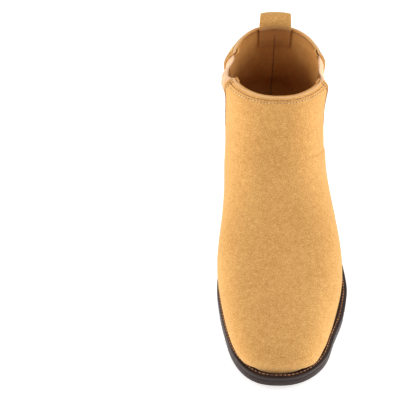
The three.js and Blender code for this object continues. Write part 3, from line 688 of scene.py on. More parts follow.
def elasticMaterial():
    # Covered rubber webbing: matt rayon threads over ribs, pale and slightly pink, with painted shade in the
    # grooves between the ribs.
    material, tree, shader, where = newMaterial("ribbedElastic", {
        "Roughness": 0.82, "Specular IOR Level": 0.25, "Sheen Weight": 0.3, "Sheen Roughness": 0.5,
    })
    rib = addNode(tree, "ShaderNodeAttribute", {"attribute_name": "rib"}).outputs["Fac"]
    # painted shade: darker between the ribs, lighter on their tops
    shade = addNode(tree, "ShaderNodeValToRGB", {
        "stops": [(0.0, "#c18f66"), (0.7, "#e6bb94")], "Fac": rib})
    flecks = addNode(tree, "ShaderNodeTexNoise", {"Scale": perMm(1), "Detail": 2, "Vector": where})
    mottled = addNode(tree, "ShaderNodeValToRGB", {
        "stops": [(0.35, "#c99a70"), (0.65, "#f0cba6")], "Fac": flecks})
    base = addNode(tree, "ShaderNodeMix", {"data_type": "RGBA", 0: 0.35, 6: shade, 7: mottled})
    threads = addNode(tree, "ShaderNodeTexWave", {
        "bands_direction": "Z", "Scale": math.pi / (10 * 0.9 * mm), "Distortion": 0.8,
        "Vector": where}).outputs["Fac"]
    rows = addNode(tree, "ShaderNodeBump", {
        "Strength": 0.5, "Distance": 0.12 * mm, "Height": threads})
    driven(tree, shader, base=base.outputs[2], normal=rows.outputs[0])
    return material


def soleMaterial():
    # Vegetable tanned sole leather: the middle keeps its orange brown, and the maker burns and
    # waxes the border black, which gives it a higher gloss.
    material, tree, shader, where = newMaterial("burnishedSoleLeather", {"Specular IOR Level": 0.3})
    edge = addNode(tree, "ShaderNodeAttribute", {"attribute_name": "fromEdge"}).outputs["Fac"]
    cloud = addNode(tree, "ShaderNodeTexNoise", {"Scale": perMm(30), "Detail": 4, "Vector": where})
    brown = addNode(tree, "ShaderNodeValToRGB", {
        "stops": [(0.35, "#94542a"), (0.65, "#ad6c40")], "Fac": cloud})
    border = addNode(tree, "ShaderNodeValToRGB", {
        "stops": [(0.0, "#3a2a2c"), (0.04, "#2b2324"), (0.285, "#2f2627"), (0.3, "#573524"),
                  (0.5, "#7a4526"), (0.8, "#ffffff")], "Fac": edge})
    base = addNode(tree, "ShaderNodeMix", {
        "data_type": "RGBA", "blend_type": "MULTIPLY", 0: 1.0, 6: brown, 7: border})
    gloss = addNode(tree, "ShaderNodeMapRange", {
        "From Min": 0.25, "From Max": 0.6, "To Min": 0.45, "To Max": 0.5, "Value": edge})
    pores = addNode(tree, "ShaderNodeTexNoise", {"Scale": perMm(0.6), "Detail": 3, "Vector": where})
    fine = addNode(tree, "ShaderNodeBump", {"Strength": 0.5, "Distance": 0.08 * mm, "Height": pores})
    driven(tree, shader, base=base.outputs[2], roughness=gloss.outputs[0], normal=fine.outputs[0])
    return material


def edgeMaterial(name, dark, light, roughness):
    # Leather edges trimmed, stained and hot waxed: nearly black, with a soft shine and faint
    # lines where the fibres were cut.
    material, tree, shader, where = newMaterial(name, {
        "Roughness": roughness, "Specular IOR Level": 0.35})
    flat = addNode(tree, "ShaderNodeMapping", {"Scale": (1.0, 1.0, 14.0), "Vector": where})
    lines = addNode(tree, "ShaderNodeTexNoise", {
        "Scale": perMm(9), "Detail": 4, "Roughness": 0.6, "Vector": flat})
    base = addNode(tree, "ShaderNodeValToRGB", {"stops": [(0.35, dark), (0.66, light)], "Fac": lines})
    first = addNode(tree, "ShaderNodeBump", {
        "Strength": 0.35, "Distance": 0.12 * mm, "Height": lines})
    pores = addNode(tree, "ShaderNodeTexNoise", {"Scale": perMm(0.8), "Detail": 3, "Vector": where})
    fine = addNode(tree, "ShaderNodeBump", {
        "Strength": 0.5, "Distance": 0.06 * mm, "Height": pores, "Normal": first})
    driven(tree, shader, base=base.outputs[0], normal=fine.outputs[0])
    return material


def threadMaterial(name, dark, light):
    # Waxed polyester thread: matt, with a slight change of shade from stitch to stitch.
    material, tree, shader, where = newMaterial(name, {"Roughness": 0.6, "Sheen Weight": 0.2})
    shade = addNode(tree, "ShaderNodeTexNoise", {"Scale": perMm(2.2), "Detail": 2, "Vector": where})
    base = addNode(tree, "ShaderNodeValToRGB", {"stops": [(0.4, dark), (0.6, light)], "Fac": shade})
    fibres = addNode(tree, "ShaderNodeTexNoise", {"Scale": perMm(0.3), "Detail": 2, "Vector": where})
    fine = addNode(tree, "ShaderNodeBump", {"Strength": 0.6, "Distance": 0.05 * mm, "Height": fibres})
    driven(tree, shader, base=base.outputs[0], normal=fine.outputs[0])
    return material


def metalMaterial(name, dark, light, roughness):
    # Cold worked metal: drawn or rolled lines in its gloss.
    material, tree, shader, where = newMaterial(name, {"Metallic": 1.0})
    drawn = addNode(tree, "ShaderNodeMapping", {"Scale": (12.0, 1.0, 12.0), "Vector": where})
    streak = addNode(tree, "ShaderNodeTexNoise", {"Scale": perMm(6), "Detail": 4, "Vector": drawn})
    base = addNode(tree, "ShaderNodeValToRGB", {"stops": [(0.35, dark), (0.65, light)], "Fac": streak})
    gloss = addNode(tree, "ShaderNodeMapRange", {
        "To Min": roughness - 0.08, "To Max": roughness + 0.1, "Value": streak})
    driven(tree, shader, base=base.outputs[0], roughness=gloss.outputs[0])
    return material


def granularMaterial(name, stops, size, depth, roughness):
    # Ground or pressed matter: irregular grains with dark gaps between them.
    material, tree, shader, where = newMaterial(name, {"Roughness": roughness})
    cloud = addNode(tree, "ShaderNodeTexNoise", {
        "Scale": perMm(size), "Detail": 4, "Roughness": 0.7, "Vector": where})
    base = addNode(tree, "ShaderNodeValToRGB", {"stops": stops, "Fac": cloud})
    grains = addNode(tree, "ShaderNodeTexVoronoi", {"Scale": perMm(size), "Vector": where})
    relief = addNode(tree, "ShaderNodeBump", {
        "Strength": 0.7, "Distance": depth * mm, "Height": grains})
    driven(tree, shader, base=base.outputs[0], normal=relief.outputs[0])
    return material


materials = {  # named by the record's slots; grain, pitch and depth are in millimetres
    "suede": suedeMaterial(),
    "elastic": elasticMaterial(),
    "lining": grainLeather("calfLining", [(0.35, "#d6954c"), (0.66, "#e8ad66")], 0.55, 1.1, 0.06, 0.35),
    "stiffener": granularMaterial("fibreStiffener", [(0.35, "#a88d68"), (0.65, "#c4aa82")], 1.2, 0.08, 0.85),
    "canvas": wovenMaterial("cottonCanvas", "#cfc4ac", "#efe7d4", 0.9, 0.1),
    "insock": grainLeather("insockLeather", [(0.35, "#6b3a24"), (0.66, "#834a30")], 0.5, 1.0, 0.05),
    "insole_board": grainLeather("insoleLeather", [(0.35, "#b08c60"), (0.66, "#c6a276")], 0.7, 1.0, 0.05),
    "cork": granularMaterial("groundCork", [(0.35, "#7a4d2b"), (0.62, "#b78352")], 1.6, 0.3, 0.95),
    "steel": metalMaterial("springSteel", "#8b8e93", "#b4b7bb", 0.35),
    "brass": metalMaterial("drawnBrass", "#a9813d", "#cfa95c", 0.35),
    "welt": edgeMaterial("dressedWelt", "#1f1413", "#2f201d", 0.5),
    "sole_leather": soleMaterial(),
    "heel_stack": edgeMaterial("waxedHeelStack", "#20181a", "#2f2426", 0.38),
    "rubber": granularMaterial("mouldedRubber", [(0.3, "#1d1d1f"), (0.7, "#29292b")], 1.0, 0.1, 0.62),
    "thread": threadMaterial("waxedThread", "#9a662e", "#c18e4f"),
}
paleThread = threadMaterial("paleThread", "#cf9d5e", "#f6d9a4")
brownThread = threadMaterial("brownThread", "#6b3a20", "#9a623a")
weltThread = threadMaterial("weltThread", "#7c4c2e", "#b67c4c")
soleThread = threadMaterial("soleThread", "#c97a3c", "#fff4e2")
# painted shade: the needle holes are dark beads, coloured as the shade inside a hole
suedeHoleShade = threadMaterial("stitchHoleShading", "#6b3f1b", "#8a5628")
weltHoleShade = threadMaterial("weltHoleShading", "#1d1210", "#2c1c17")
print("materials made:", len(bpy.data.materials))


slack = {"depth": 0.22, "starts": 4, "full": 25, "lengths": (17, 23, 19, 41), "shift": 1.3}
# How far the shaft stands out around the elastic, and over which stretches this starts and ends
# behind the elastic's front edge, and starts in height.
bulges = {
    "outer front panel": (3.0, (-26, 0), (1, 14), (104, 143)),
    "inner front panel": (2.5, (-30, -4), (0, 8), (118, 143)),
    "inner elastic": (6.0, (-1, 6), (7, 31), (106, 143)),
}


def undulation(points):  # slow unevenness of leather stretched over a last
    x, y, z = np.moveaxis(points, -1, 0)
    a, b, c, d = slack["lengths"]
    wave = np.sin(y / a + x / b) * np.sin(z / c - y / d + slack["shift"])
    return slack["depth"] * wave * eased(z - seatHeight(y), slack["starts"], slack["full"])


def flare(points):  # how the shaft gives way around the elastic
    x, y, z = np.moveaxis(points, -1, 0)
    rise = (z - pattern["gussetBottom"]) / (upper["frontTop"] - pattern["gussetBottom"])
    behind = y - mix(gussetFoot, gussetFront, rise)
    outer, corner, webbing = (
        amount * eased(behind, *starts) * (1 - eased(behind, *ends)) * eased(z, *height)
        for amount, starts, ends, height in bulges.values()
    )
    return np.where(x > 0, outer, corner + webbing)


def fromTop(points):  # distance below the top edge
    y, z = points[..., 1], points[..., 2]
    top = mix(upper["frontTop"], upper["backTop"], (y - frontTopY) / upper["openingLength"])
    return np.where(y > frontTopY - 12, top - z, 99)


def moved(points, normals, depth):  # the surface moved inwards by a depth, or a function of it
    amount = undulation(points) + flare(points) - (depth(points) if callable(depth) else depth)
    result = points + normals * amount[..., None]
    low = seatHeight(result[..., 1]) - upper["pressedIn"]
    onWelt = np.abs(points[..., 2] - seatHeight(points[..., 1])) < 0.05
    result[..., 2] = np.where(onWelt, low, np.maximum(result[..., 2], low))
    return result


def lifted(keys, turns, depth):  # single places on a moved surface
    return moved(skinPoint(keys, turns), outwards(keys, turns), depth)


middleDepth = upper["leather"] + upper["gap"]
fullDepth = middleDepth + upper["middle"] + upper["gap"]  # where the lining lies


def liningDepth(points):  # the lining comes up to the leather at the top edge
    near = 1 - eased(fromTop(points), 4, pattern["liningTurn"])
    clear = eased(-intoGusset(points[..., 1], points[..., 2]), 5.05, 6.9)
    return mix(fullDepth, upper["leather"] + upper["topWall"], near * clear)


allKeys = rowKeys(0, lastKey, upper["rowLength"])
nearMiddle = 0.0025  # the quarters' turn beside the middle of the back
sideWords = ((lateral, "lateral"), (medial, "medial"))


def frontTurns(keys, columns, margin=0.0):  # the vamp, from one seam over the ridge to the other
    start = angleOf(keys, patternEdges(keys, margin)[1])
    return evenTurns(keys, start, math.pi - start, columns)


def behindSeam(keys, margin=0.0):
    return lowerEnd(endAt(keys))[0] > breast - pattern["seamFoot"] + gap + margin


def backTurns(keys, side, columns):  # the quarters, from the back's middle to the seam or elastic
    start = np.where(keys >= backKey, nearMiddle, 0.0)
    end = np.maximum(angleOf(keys, patternEdges(keys, 0.0, gap)[0]), start)
    if side == lateral:
        return evenTurns(keys, start, end, columns)
    return evenTurns(keys, math.pi - end, math.pi - start, columns)


def layerPiece(name, keys, turns, outerDepth, thickness, edge=0.35):  # one layer of the upper
    points, normals = surfaceGrid(keys, turns)
    outer = moved(points, normals, outerDepth)

    def innerDepth(points):
        return (outerDepth(points) if callable(outerDepth) else outerDepth) + thickness

    piece = shellPiece(name, outer, moved(points, normals, innerDepth))
    return beveled(piece, edge) if edge else piece


def leatherPiece(name, keys, turns, node):
    piece = layerPiece(name, keys, turns, 0.0, upper["leather"])
    painted(piece, "cutEdge", (fromTop(placesOf(piece)) < 0.4) * upper["paleEdge"])
    finished(piece, "suede", node)


def makeLeatherAndLining():
    turns = frontTurns(allKeys, 121)
    leatherPiece("vamp_leather", allKeys, turns, "vamp")
    lining = layerPiece("vamp_lining_leather", allKeys, turns, liningDepth, upper["lining"])
    finished(lining, "lining", "vamp_lining")
    keys = allKeys[behindSeam(allKeys)]
    for side, word in sideWords:
        turns = backTurns(keys, side, 71)
        leatherPiece("quarter_leather_" + word, keys, turns, "quarter_" + word)
        lining = layerPiece("quarter_lining_leather_" + word, keys, turns, liningDepth, upper["lining"])
        finished(lining, "lining", "quarter_lining_" + word)


elastic = {"ribPitch": 1.5, "ribDepth": 0.28, "columns": 150, "hollow": 0.9, "above": 1.5}


def ribAt(y):  # 1 on the ribs of the elastic, 0 between them
    middle = (gussetFront + gussetFoot + pattern["gussetTopWidth"]) / 2
    return 0.5 + 0.5 * np.cos(2 * math.pi * (y - middle) / elastic["ribPitch"])


def makeElastic():
    keys = allKeys[crossing(allKeys, pattern["gussetMargin"])[0]]
    top = upper["frontTop"] + elastic["above"] - pattern["gussetDip"]
    keys = keys[sideLine(keys, 0.45)[1] < top]
    first, last = (angleOf(keys, share) for share in crossing(keys, pattern["gussetMargin"])[1:])
    for side, word in sideWords:
        start, end = (first, last) if side == lateral else (math.pi - last, math.pi - first)
        points, normals = surfaceGrid(keys, evenTurns(keys, start, end, elastic["columns"]))
        cut = elastic["ribDepth"] * (1 - ribAt(points[..., 1]))
        hollow = elastic["hollow"] * eased(intoGusset(points[..., 1], points[..., 2]), 0, 9)
        outer = moved(points, normals, middleDepth + cut + hollow)
        inner = moved(points, normals, middleDepth + upper["middle"] - cut + hollow)
        piece = shellPiece("elastic_gusset_" + word, outer, inner)
        # painted shade: the material colours the grooves between the ribs darker
        painted(piece, "rib", ribAt(placesOf(piece)[:, 1]))
        finished(piece, "elastic", "gusset_" + word)


between = {"margin": 2, "belowTop": 1.35, "space": 0.6, "columns": 61}  # belowTop is in sections


def counterShare(keys, margin=0.0):  # how far up each section the heel counter reaches
    y, z = sideLine(keys[:, None], sampleRise[None, :])
    lean = breast + pattern["counterLean"] * (z - seatBack) / (pattern["counterTop"] - seatBack)
    within = (z < pattern["counterTop"] + margin) & (y > lean - margin)
    return np.where(within[:, 0], sampleRise[np.maximum((~within).argmax(1), 1)], 0)


def makeMiddle():  # interlining and stiffeners, hidden between leather and lining
    def add(name, keys, turns, slot, node):
        finished(layerPiece(name, keys, turns, middleDepth, upper["middle"], edge=0), slot, node)

    margin = pattern["gussetMargin"] + between["margin"]
    along = np.linspace(0, 8, 400)
    puffKey = float(np.interp(pattern["toePuff"], toeCorner + run * endAt(along), along))
    topKey = lastKey - between["belowTop"]
    keys = allKeys[allKeys < puffKey]
    add("moulded_toe_puff", keys, frontTurns(keys, between["columns"]), "stiffener", "toe_puff")
    keys = allKeys[(allKeys > puffKey + 0.02) & (allKeys < topKey)]
    add("vamp_canvas", keys, frontTurns(keys, between["columns"], margin), "canvas", "vamp_interlining")
    keys = allKeys[allKeys >= backKey]
    keys = keys[counterShare(keys) > 0]
    end = angleOf(keys, counterShare(keys))
    turns = evenTurns(keys, math.pi - end, math.pi + end, 81)
    add("moulded_heel_counter", keys, turns, "stiffener", "heel_counter")
    keys = allKeys[behindSeam(allKeys, 1) & (allKeys < topKey)]
    start = counterShare(keys, between["space"])
    end = patternEdges(keys, margin, gap)[0] - 0.004
    keys, start, end = (values[end > start + 0.03] for values in (keys, start, end))
    start = np.maximum(angleOf(keys, start), np.where(keys >= backKey, nearMiddle, 0))
    end = angleOf(keys, end)
    for word, low, high in (("lateral", start, end), ("medial", math.pi - end, math.pi - start)):
        turns = evenTurns(keys, low, high, 41)
        add("quarter_canvas_" + word, keys, turns, "canvas", "quarter_interlining_" + word)


def outlineRun(start, end, spacing=1.5):
    # Points and outward directions along the sole's outline, round the toe or round the heel.
    tip, far = (0.0, end) if start <= 0 else (sole["length"], start)
    ys = mix(tip, far, (1 - np.cos(np.linspace(0, math.pi / 2, 1200))) ** 1.6)
    outer = np.stack([halfWidth(lateral, ys), ys], -1)
    inner = np.stack([-halfWidth(medial, ys), ys], -1)
    line = np.concatenate([outer[::-1], inner[1:]])
    points = evenly(line, int(travelled(line)[-1] / spacing) + 1)
    out = leftOf(points)
    end = len(points) // 2
    towards = out[end] @ (points[end] - np.array([0, sole["length"] / 2]))
    return points, out * math.copysign(1, towards)


def bandPiece(name, start, end, innerInset, low, high, rounding):
    # A strip of the sole's border, between two heights above its underside.
    points, out = outlineRun(start, end)
    inset = innerInset(points[:, 1])[:, None]
    corners = []
    for distance, height in ((0, low), (0, high), (inset, high), (inset, low)):
        place = points - out * distance
        corners.append(np.column_stack([place, underside(place[:, 1]) + height]))
    rows = np.stack(corners, 1)
    count, columns = rows.shape[:2]
    faces = gridFaces(count, columns, closed=True)
    faces += [(0, 1, 2, 3), tuple((count - 1) * columns + i for i in (3, 2, 1, 0))]
    piece = cleaned(meshPiece(name, rows.reshape(-1, 3), faces))
    return beveled(fixedNormals(piece), rounding)


def makeWelt():
    low, high = sole["thickness"] + 0.05, weltLevel + welt["thickness"]  # pressed onto the sole

    def inner(y):
        return reveal(y) + welt["inner"]

    for name, start, end, node in (("stitched_welt", 0, weltEnd, "welt"),
                                   ("heel_rand_strip", weltEnd + gap, sole["length"], "heel_rand")):
        finished(bandPiece(name, start, end, inner, low, high, welt["edgeRounding"]), "welt", node)


def solePoint(points, distance):  # a place on the sole at a distance in from its outline
    centre = np.stack([np.zeros(len(points)), np.clip(points[:, 1], 34, sole["length"] - 40)], -1)
    centre[:, 0] = (halfWidth(lateral, centre[:, 1]) - halfWidth(medial, centre[:, 1])) / 2
    ray = centre - points
    length = np.linalg.norm(ray, axis=-1, keepdims=True)
    return points + ray * np.minimum(distance / length, 1)


def soleLoop():  # the whole outline of the sole
    middle, spacing = sole["length"] / 2 - 1, 1.6
    toePoints = outlineRun(0, middle, spacing)[0]
    heelPoints = outlineRun(middle, sole["length"], spacing)[0]
    if heelPoints[0, 0] * toePoints[-1, 0] < 0:
        heelPoints = heelPoints[::-1]
    return np.concatenate([toePoints, heelPoints[1:-1]])


outsole = {
    "rings": [0, 1.0, 2.5, 5], "inside": [12, 15, 18, 21, 25, 30, 36, 44, 60],  # in from the edge
    "grooveEnd": 8, "recess": 0.34, "recessStart": 22, "recessEnd": 136, "recessEasing": 5,
}


def makeOutsole():
    loop = soleLoop()
    groove, half = sole["grooveInset"], sole["grooveWidth"] / 2
    across = [groove + half * share for share in (-1, -0.5, 0, 0.5, 1)]
    distances = outsole["rings"] + across + outsole["inside"]
    start, end, easing = (outsole[k] for k in ("recessStart", "recessEnd", "recessEasing"))

    def bottom(distance, y):  # how far the underside is cut away
        if distance >= outsole["inside"][0]:  # the ribs stand in a shallow recess
            within = eased(y, start, start + easing) * (1 - eased(y, end - easing, end))
            return outsole["recess"] * within
        cut = max(0, 1 - abs(distance - groove) / half) * sole["grooveDepth"]
        return np.where(y < breast - outsole["grooveEnd"], cut, 0)

    rows = []
    for distance in reversed(distances):
        points = solePoint(loop, distance)
        rows.append(np.column_stack([points, underside(points[:, 1]) + sole["thickness"]]))
    for distance in distances:
        points = solePoint(loop, distance)
        y = points[:, 1]
        rows.append(np.column_stack([points, underside(y) + bottom(distance, y)]))
    fromEdge = [0.0] * len(distances) + [min(distance / 30, 1) for distance in distances]
    count, columns = len(rows), len(loop)
    faces = gridFaces(count, columns, closed=True)
    piece = meshPiece("leather_outsole", np.concatenate(rows), faces)
    painted(piece, "fromEdge", np.repeat(fromEdge, columns))
    fixedNormals(cleaned(piece))
    finished(beveled(piece, sole["edgeRounding"], 3, 60), "sole_leather", "outsole")


def makeHeel():
    halfBreast = float(halfWidth(lateral, breast) + halfWidth(medial, breast)) / 2
    hollowRadius = (halfBreast**2 + heel["breastHollow"] ** 2) / (2 * heel["breastHollow"])

    def outline(inset):
        ys = mix(breast, sole["length"] - inset, np.sin(np.linspace(0, math.pi / 2, 40)))
        left = np.stack([halfWidth(lateral, ys, inset), ys], -1)
        right = np.stack([-halfWidth(medial, ys, inset), ys], -1)
        line = np.concatenate([left, right[::-1][1:]])
        xs = np.linspace(line[-1, 0], line[0, 0], 24)[1:-1]
        arc = breast + heel["breastHollow"] - hollowRadius + np.sqrt(hollowRadius**2 - xs**2)
        return np.concatenate([line, np.stack([xs, np.maximum(arc, breast)], -1)])

    def layerOf(name, low, high, slot, node):  # low and high are heights at a place along the boot
        rings = []
        for height in (low, high):
            line = outline(heel["taper"] * (1 - height(breast) / heel["backHeight"]))
            rings.append(np.column_stack([line, height(line[:, 1])]))
        count = len(rings[0])
        faces = gridFaces(2, count, closed=True)
        faces += [tuple(range(count)), tuple(range(2 * count - 1, count - 1, -1))]
        piece = fixedNormals(cleaned(meshPiece(name, np.concatenate(rings), faces)))
        finished(beveled(piece, heel["edgeRounding"], 2, 40), slot, node)

    def level(z):
        return lambda y: np.zeros_like(y, float) + z

    first = heel["topPiece"]
    second = first + 2 * gap + heel["lift"]
    third = second + heel["lift"] + gap
    space = heel["pressed"]
    layerOf("rubber_top_piece", level(0), level(first), "rubber", "top_piece")
    layerOf("heel_lift_1", level(first + space), level(second - space / 2), "heel_stack",
            "heel_lift_lower")
    layerOf("heel_lift_2", level(second + space / 2), level(third - space), "heel_stack",
            "heel_lift_upper")
    layerOf("heel_wedge_lift", level(third), lambda y: underside(y) - space, "heel_stack", "heel_wedge")


insock = {"thickness": 1, "edge": 0.6, "rounding": 0.3, "columns": 31}


def makeInsock():
    inset = fullDepth + upper["lining"] + insock["edge"]
    ys = mix(toeEdge + inset, heelEdge - inset, (1 - np.cos(np.linspace(0, math.pi, 150))) / 2)
    shares = np.linspace(1, -1, insock["columns"])[None, :]
    left, right = (halfWidth(side, ys, reveal(ys) + inset)[:, None] for side in (lateral, medial))
    x = np.where(shares > 0, left, right) * shares
    low = (underside(ys) + seatLevel + insoleThickness + gap)[:, None]
    top, bottom = (np.stack(np.broadcast_arrays(x, ys[:, None], low + height), -1)
                   for height in (insock["thickness"], 0))
    piece = fixedNormals(shellPiece("leather_insock", top, bottom))
    finished(beveled(piece, insock["rounding"]), "insock", "insock")


strap = {
    "width": 27, "thickness": 1.5, "sewn": 19, "height": 14, "columns": 17, "edge": 0.4,
    "belly": 2.6, "backBelly": 1.0,  # how far the loop's front and back bulge
    "over": 0.15, "under": 0.25,  # space to the leather outside and to the lining inside
    "taper": 0.04, "roundedTop": 0.9, "seamInset": 2.0,
}


def backBend(x, z):  # how far the back has curved forward beside its middle
    side = np.where(x > 0, shaftSides[lateral](z), shaftSides[medial](z))
    s = np.clip(np.abs(x) / side, 0, 0.98)
    return shaftRounding * (1 - (1 - s**2.2) ** (1 / 2.2))


def strapPath():  # the strap in side view, from its inner end over the loop to its outer end
    top = upper["backTop"]
    half = strap["thickness"] / 2
    outside = backTopY + gap + strap["thickness"]
    inside = backTopY - (fullDepth + upper["lining"] + gap + strap["thickness"])
    peak = top + strap["height"] - half
    sewnZ = np.linspace(top - strap["sewn"], top - 1, 16)
    back = backCurve(sewnZ)
    depth = liningDepth(np.column_stack([0 * sewnZ, back, sewnZ])) + upper["lining"]
    innerLine = back - depth - strap["under"] - half
    outerLine = back + strap["over"] + half
    belly, behind = strap["belly"], strap["backBelly"]
    arc = [
        (inside - belly * 0.55, top + 2.2), (inside - belly, top + 5.5), (inside - belly * 0.8, peak - 4),
        (inside + 0.6, peak - 0.9), ((inside + outside) / 2, peak), (outside - 1, peak - 0.9),
        (outside + behind * 0.8, peak - 4), (outside + behind, top + 5.5),
        (outside + behind * 0.4, top + 2),
    ]
    path = np.concatenate([np.column_stack([innerLine, sewnZ]), arc,
                           np.column_stack([outerLine, sewnZ])[::-1]])
    path = evenly(path, 90)
    for _ in range(5):  # rounds its corners
        path[1:-1] = (path[:-2] + 2 * path[1:-1] + path[2:]) / 4
    return path


def makeStrap():
    top = upper["backTop"]
    path = strapPath()
    normal = leftOf(path)
    xs = np.linspace(-1, 1, strap["columns"])[None, :] * strap["width"] / 2
    grids = []
    for offset in (strap["thickness"] / 2, -strap["thickness"] / 2):
        lineY, lineZ = np.hsplit(path + normal * offset, 2)
        straight = eased(lineZ, top - 2, top + strap["height"])
        y = lineY - backBend(xs, np.minimum(lineZ, top)) * (1 - 0.6 * straight)
        z = lineZ - strap["roundedTop"] * straight * (np.abs(xs) / xs[0, -1]) ** 3
        grids.append(np.stack([xs * (1 - strap["taper"] * straight), y, z], -1))
    piece = fixedNormals(shellPiece("pull_strap", *grids))
    applied(beveled(piece, strap["edge"]))
    y, z = placesOf(piece).T[1:]
    # painted shade: marks the strap's inner side below the top edge, inside the boot, for the darker tan
    painted(piece, "worn", (1 - eased(z, top - 1.5, top + 3)) * (y < backCurve(z) - 1))
    finished(piece, "suede", "pull_loop", "pull_tab_inner_end", "pull_tab_outer_end", body=None)
    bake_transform(piece)


def turnAtWidth(keys, x, side):  # where a section is a given distance from the middle, at the back
    turns = np.linspace(0, 0.6, 200)
    places = skinPoint(keys[:, None], (turns if side == lateral else math.pi - turns)[None, :])
    widths = np.maximum.accumulate(np.abs(places[..., 0]), axis=1)
    return np.array([np.interp(x, row, turns) for row in widths])


backstay = {"columns": 15, "edge": 0.35, "seams": (2, 12)}  # the columns that the seams follow


def makeBackstay():
    keys = rowKeys(backKey + 0.02, lastKey, 1.5)
    keys = keys[lowerEnd(endAt(keys))[1] < upper["backTop"] - strap["sewn"] - 1]
    left, right = (turnAtWidth(keys, pattern["backstayWidth"] / 2, side)[:, None]
                   for side in (lateral, medial))
    shares = np.linspace(-1, 1, backstay["columns"])[None, :]
    turns = math.pi + shares * np.where(shares <= 0, right, left)
    points, normals = surfaceGrid(keys, turns)
    points = moved(points, normals, 0.0)
    crown = pattern["backstayThickness"] * (1 - 0.4 * np.abs(shares) ** 6)[..., None]
    outer, inner = points + normals * (strap["over"] + crown), points + normals * strap["over"]
    piece = fixedNormals(shellPiece("backstay_strip", outer, inner))
    finished(beveled(piece, backstay["edge"]), "suede", "backstay")
    return keys, turns


def newTree(name, inputs):  # a geometry tree with named inputs
    tree = bpy.data.node_groups.new(name, "GeometryNodeTree")
    for socket, kind in {"Geometry": "Geometry", **inputs}.items():
        tree.interface.new_socket(socket, in_out="INPUT", socket_type="NodeSocket" + kind)
    tree.interface.new_socket("Geometry", in_out="OUTPUT", socket_type="NodeSocketGeometry")
    return tree, tree.nodes.new("NodeGroupInput").outputs


def wirePiece(name, lines):  # rows of points joined by edges
    points, edges = [], []
    for line in lines:
        start = len(points)
        points += list(line)
        edges += [(start + i, start + i + 1) for i in range(len(line) - 1)]
    return meshPiece(name, points, [], edges)


def grown(obj, tree, values):  # what a geometry tree makes of a piece, as plain mesh
    modifier = obj.modifiers.new("pattern", "NODES")
    modifier.node_group = tree
    sockets = {s.name: s.identifier for s in tree.interface.items_tree if s.in_out == "INPUT"}
    for key, value in values.items():
        modifier[sockets[key]] = value
    return applied(obj)


def stitchTree():  # thread capsules and needle holes along every edge of a wire mesh
    tree, given = newTree("lockStitches", {
        "Pitch": "Float", "Stitch Length": "Float", "Thread Radius": "Float", "Hole Radius": "Float",
        "Thread": "Material", "Hole": "Material",
    })
    curve = addNode(tree, "GeometryNodeMeshToCurve", {"Mesh": given["Geometry"]})
    spaced = addNode(tree, "GeometryNodeResampleCurve", {
        "mode": "LENGTH", "Curve": curve, "Length": given["Pitch"]})
    tangent = addNode(tree, "GeometryNodeInputTangent")
    turned = addNode(tree, "FunctionNodeAlignRotationToVector", {"axis": "Z", "Vector": tangent})
    ball = addNode(tree, "GeometryNodeMeshUVSphere", {"Segments": 6, "Rings": 5, "Radius": 1.0})
    halfLength, halfPitch = (
        addNode(tree, "ShaderNodeMath", {"operation": "MULTIPLY", 0: given[name], 1: 0.5})
        for name in ("Stitch Length", "Pitch")
    )
    shift = addNode(tree, "ShaderNodeVectorMath", {
        "operation": "SCALE", "Vector": tangent, "Scale": halfPitch})
    between = addNode(tree, "GeometryNodeSetPosition", {"Geometry": spaced, "Offset": shift})
    joined = addNode(tree, "GeometryNodeJoinGeometry")
    for name, points, reach in (("Thread", spaced, halfLength), ("Hole", between, given["Hole Radius"])):
        radius = given[name + " Radius"]
        size = addNode(tree, "ShaderNodeCombineXYZ", {"X": radius, "Y": radius, "Z": reach})
        shapes = addNode(tree, "GeometryNodeInstanceOnPoints", {
            "Points": points, "Instance": ball, "Rotation": turned, "Scale": size})
        real = addNode(tree, "GeometryNodeRealizeInstances", {"Geometry": shapes})
        part = addNode(tree, "GeometryNodeSetMaterial", {"Geometry": real, "Material": given[name]})
        tree.links.new(part.outputs[0], joined.inputs[0])
    addNode(tree, "NodeGroupOutput", {"Geometry": joined})
    return tree


stitches = stitchTree()


def stitchedPiece(name, lines, sizes, thread, hole, *nodes):
    obj = grown(wirePiece(name, lines), stitches, {
        "Pitch": sizes["pitch"] * mm, "Stitch Length": sizes["length"] * mm,
        "Thread Radius": sizes["radius"] * mm, "Hole Radius": sizes["hole"] * mm,
        "Thread": thread, "Hole": hole,
    })
    finished(smooth(obj), "thread", *nodes)


upperSeams = {
    "pitch": 2.6, "length": 2.2, "radius": 0.36, "hole": 0.42, "points": 160,
    "edge": 2.0, "second": 4.4, "topFirst": 3.0, "topSecond": 5.8,  # in from the edges
    "lift": 0.12, "topLift": 0.1, "liningLift": 0.1,  # how far the threads stand out
}


def alongEdge(keys, start, distance, side, sign):
    # Turns at a distance along each section from a pattern edge, towards the ridge or the back.
    turns = start[:, None] + sign * np.linspace(0, 0.35, 60)[None, :]
    travel = travelled(skinPoint(keys[:, None], turns if side == lateral else math.pi - turns))
    found = np.array([np.interp(distance, travel[i], turns[i]) for i in range(len(keys))])
    return found if side == lateral else math.pi - found


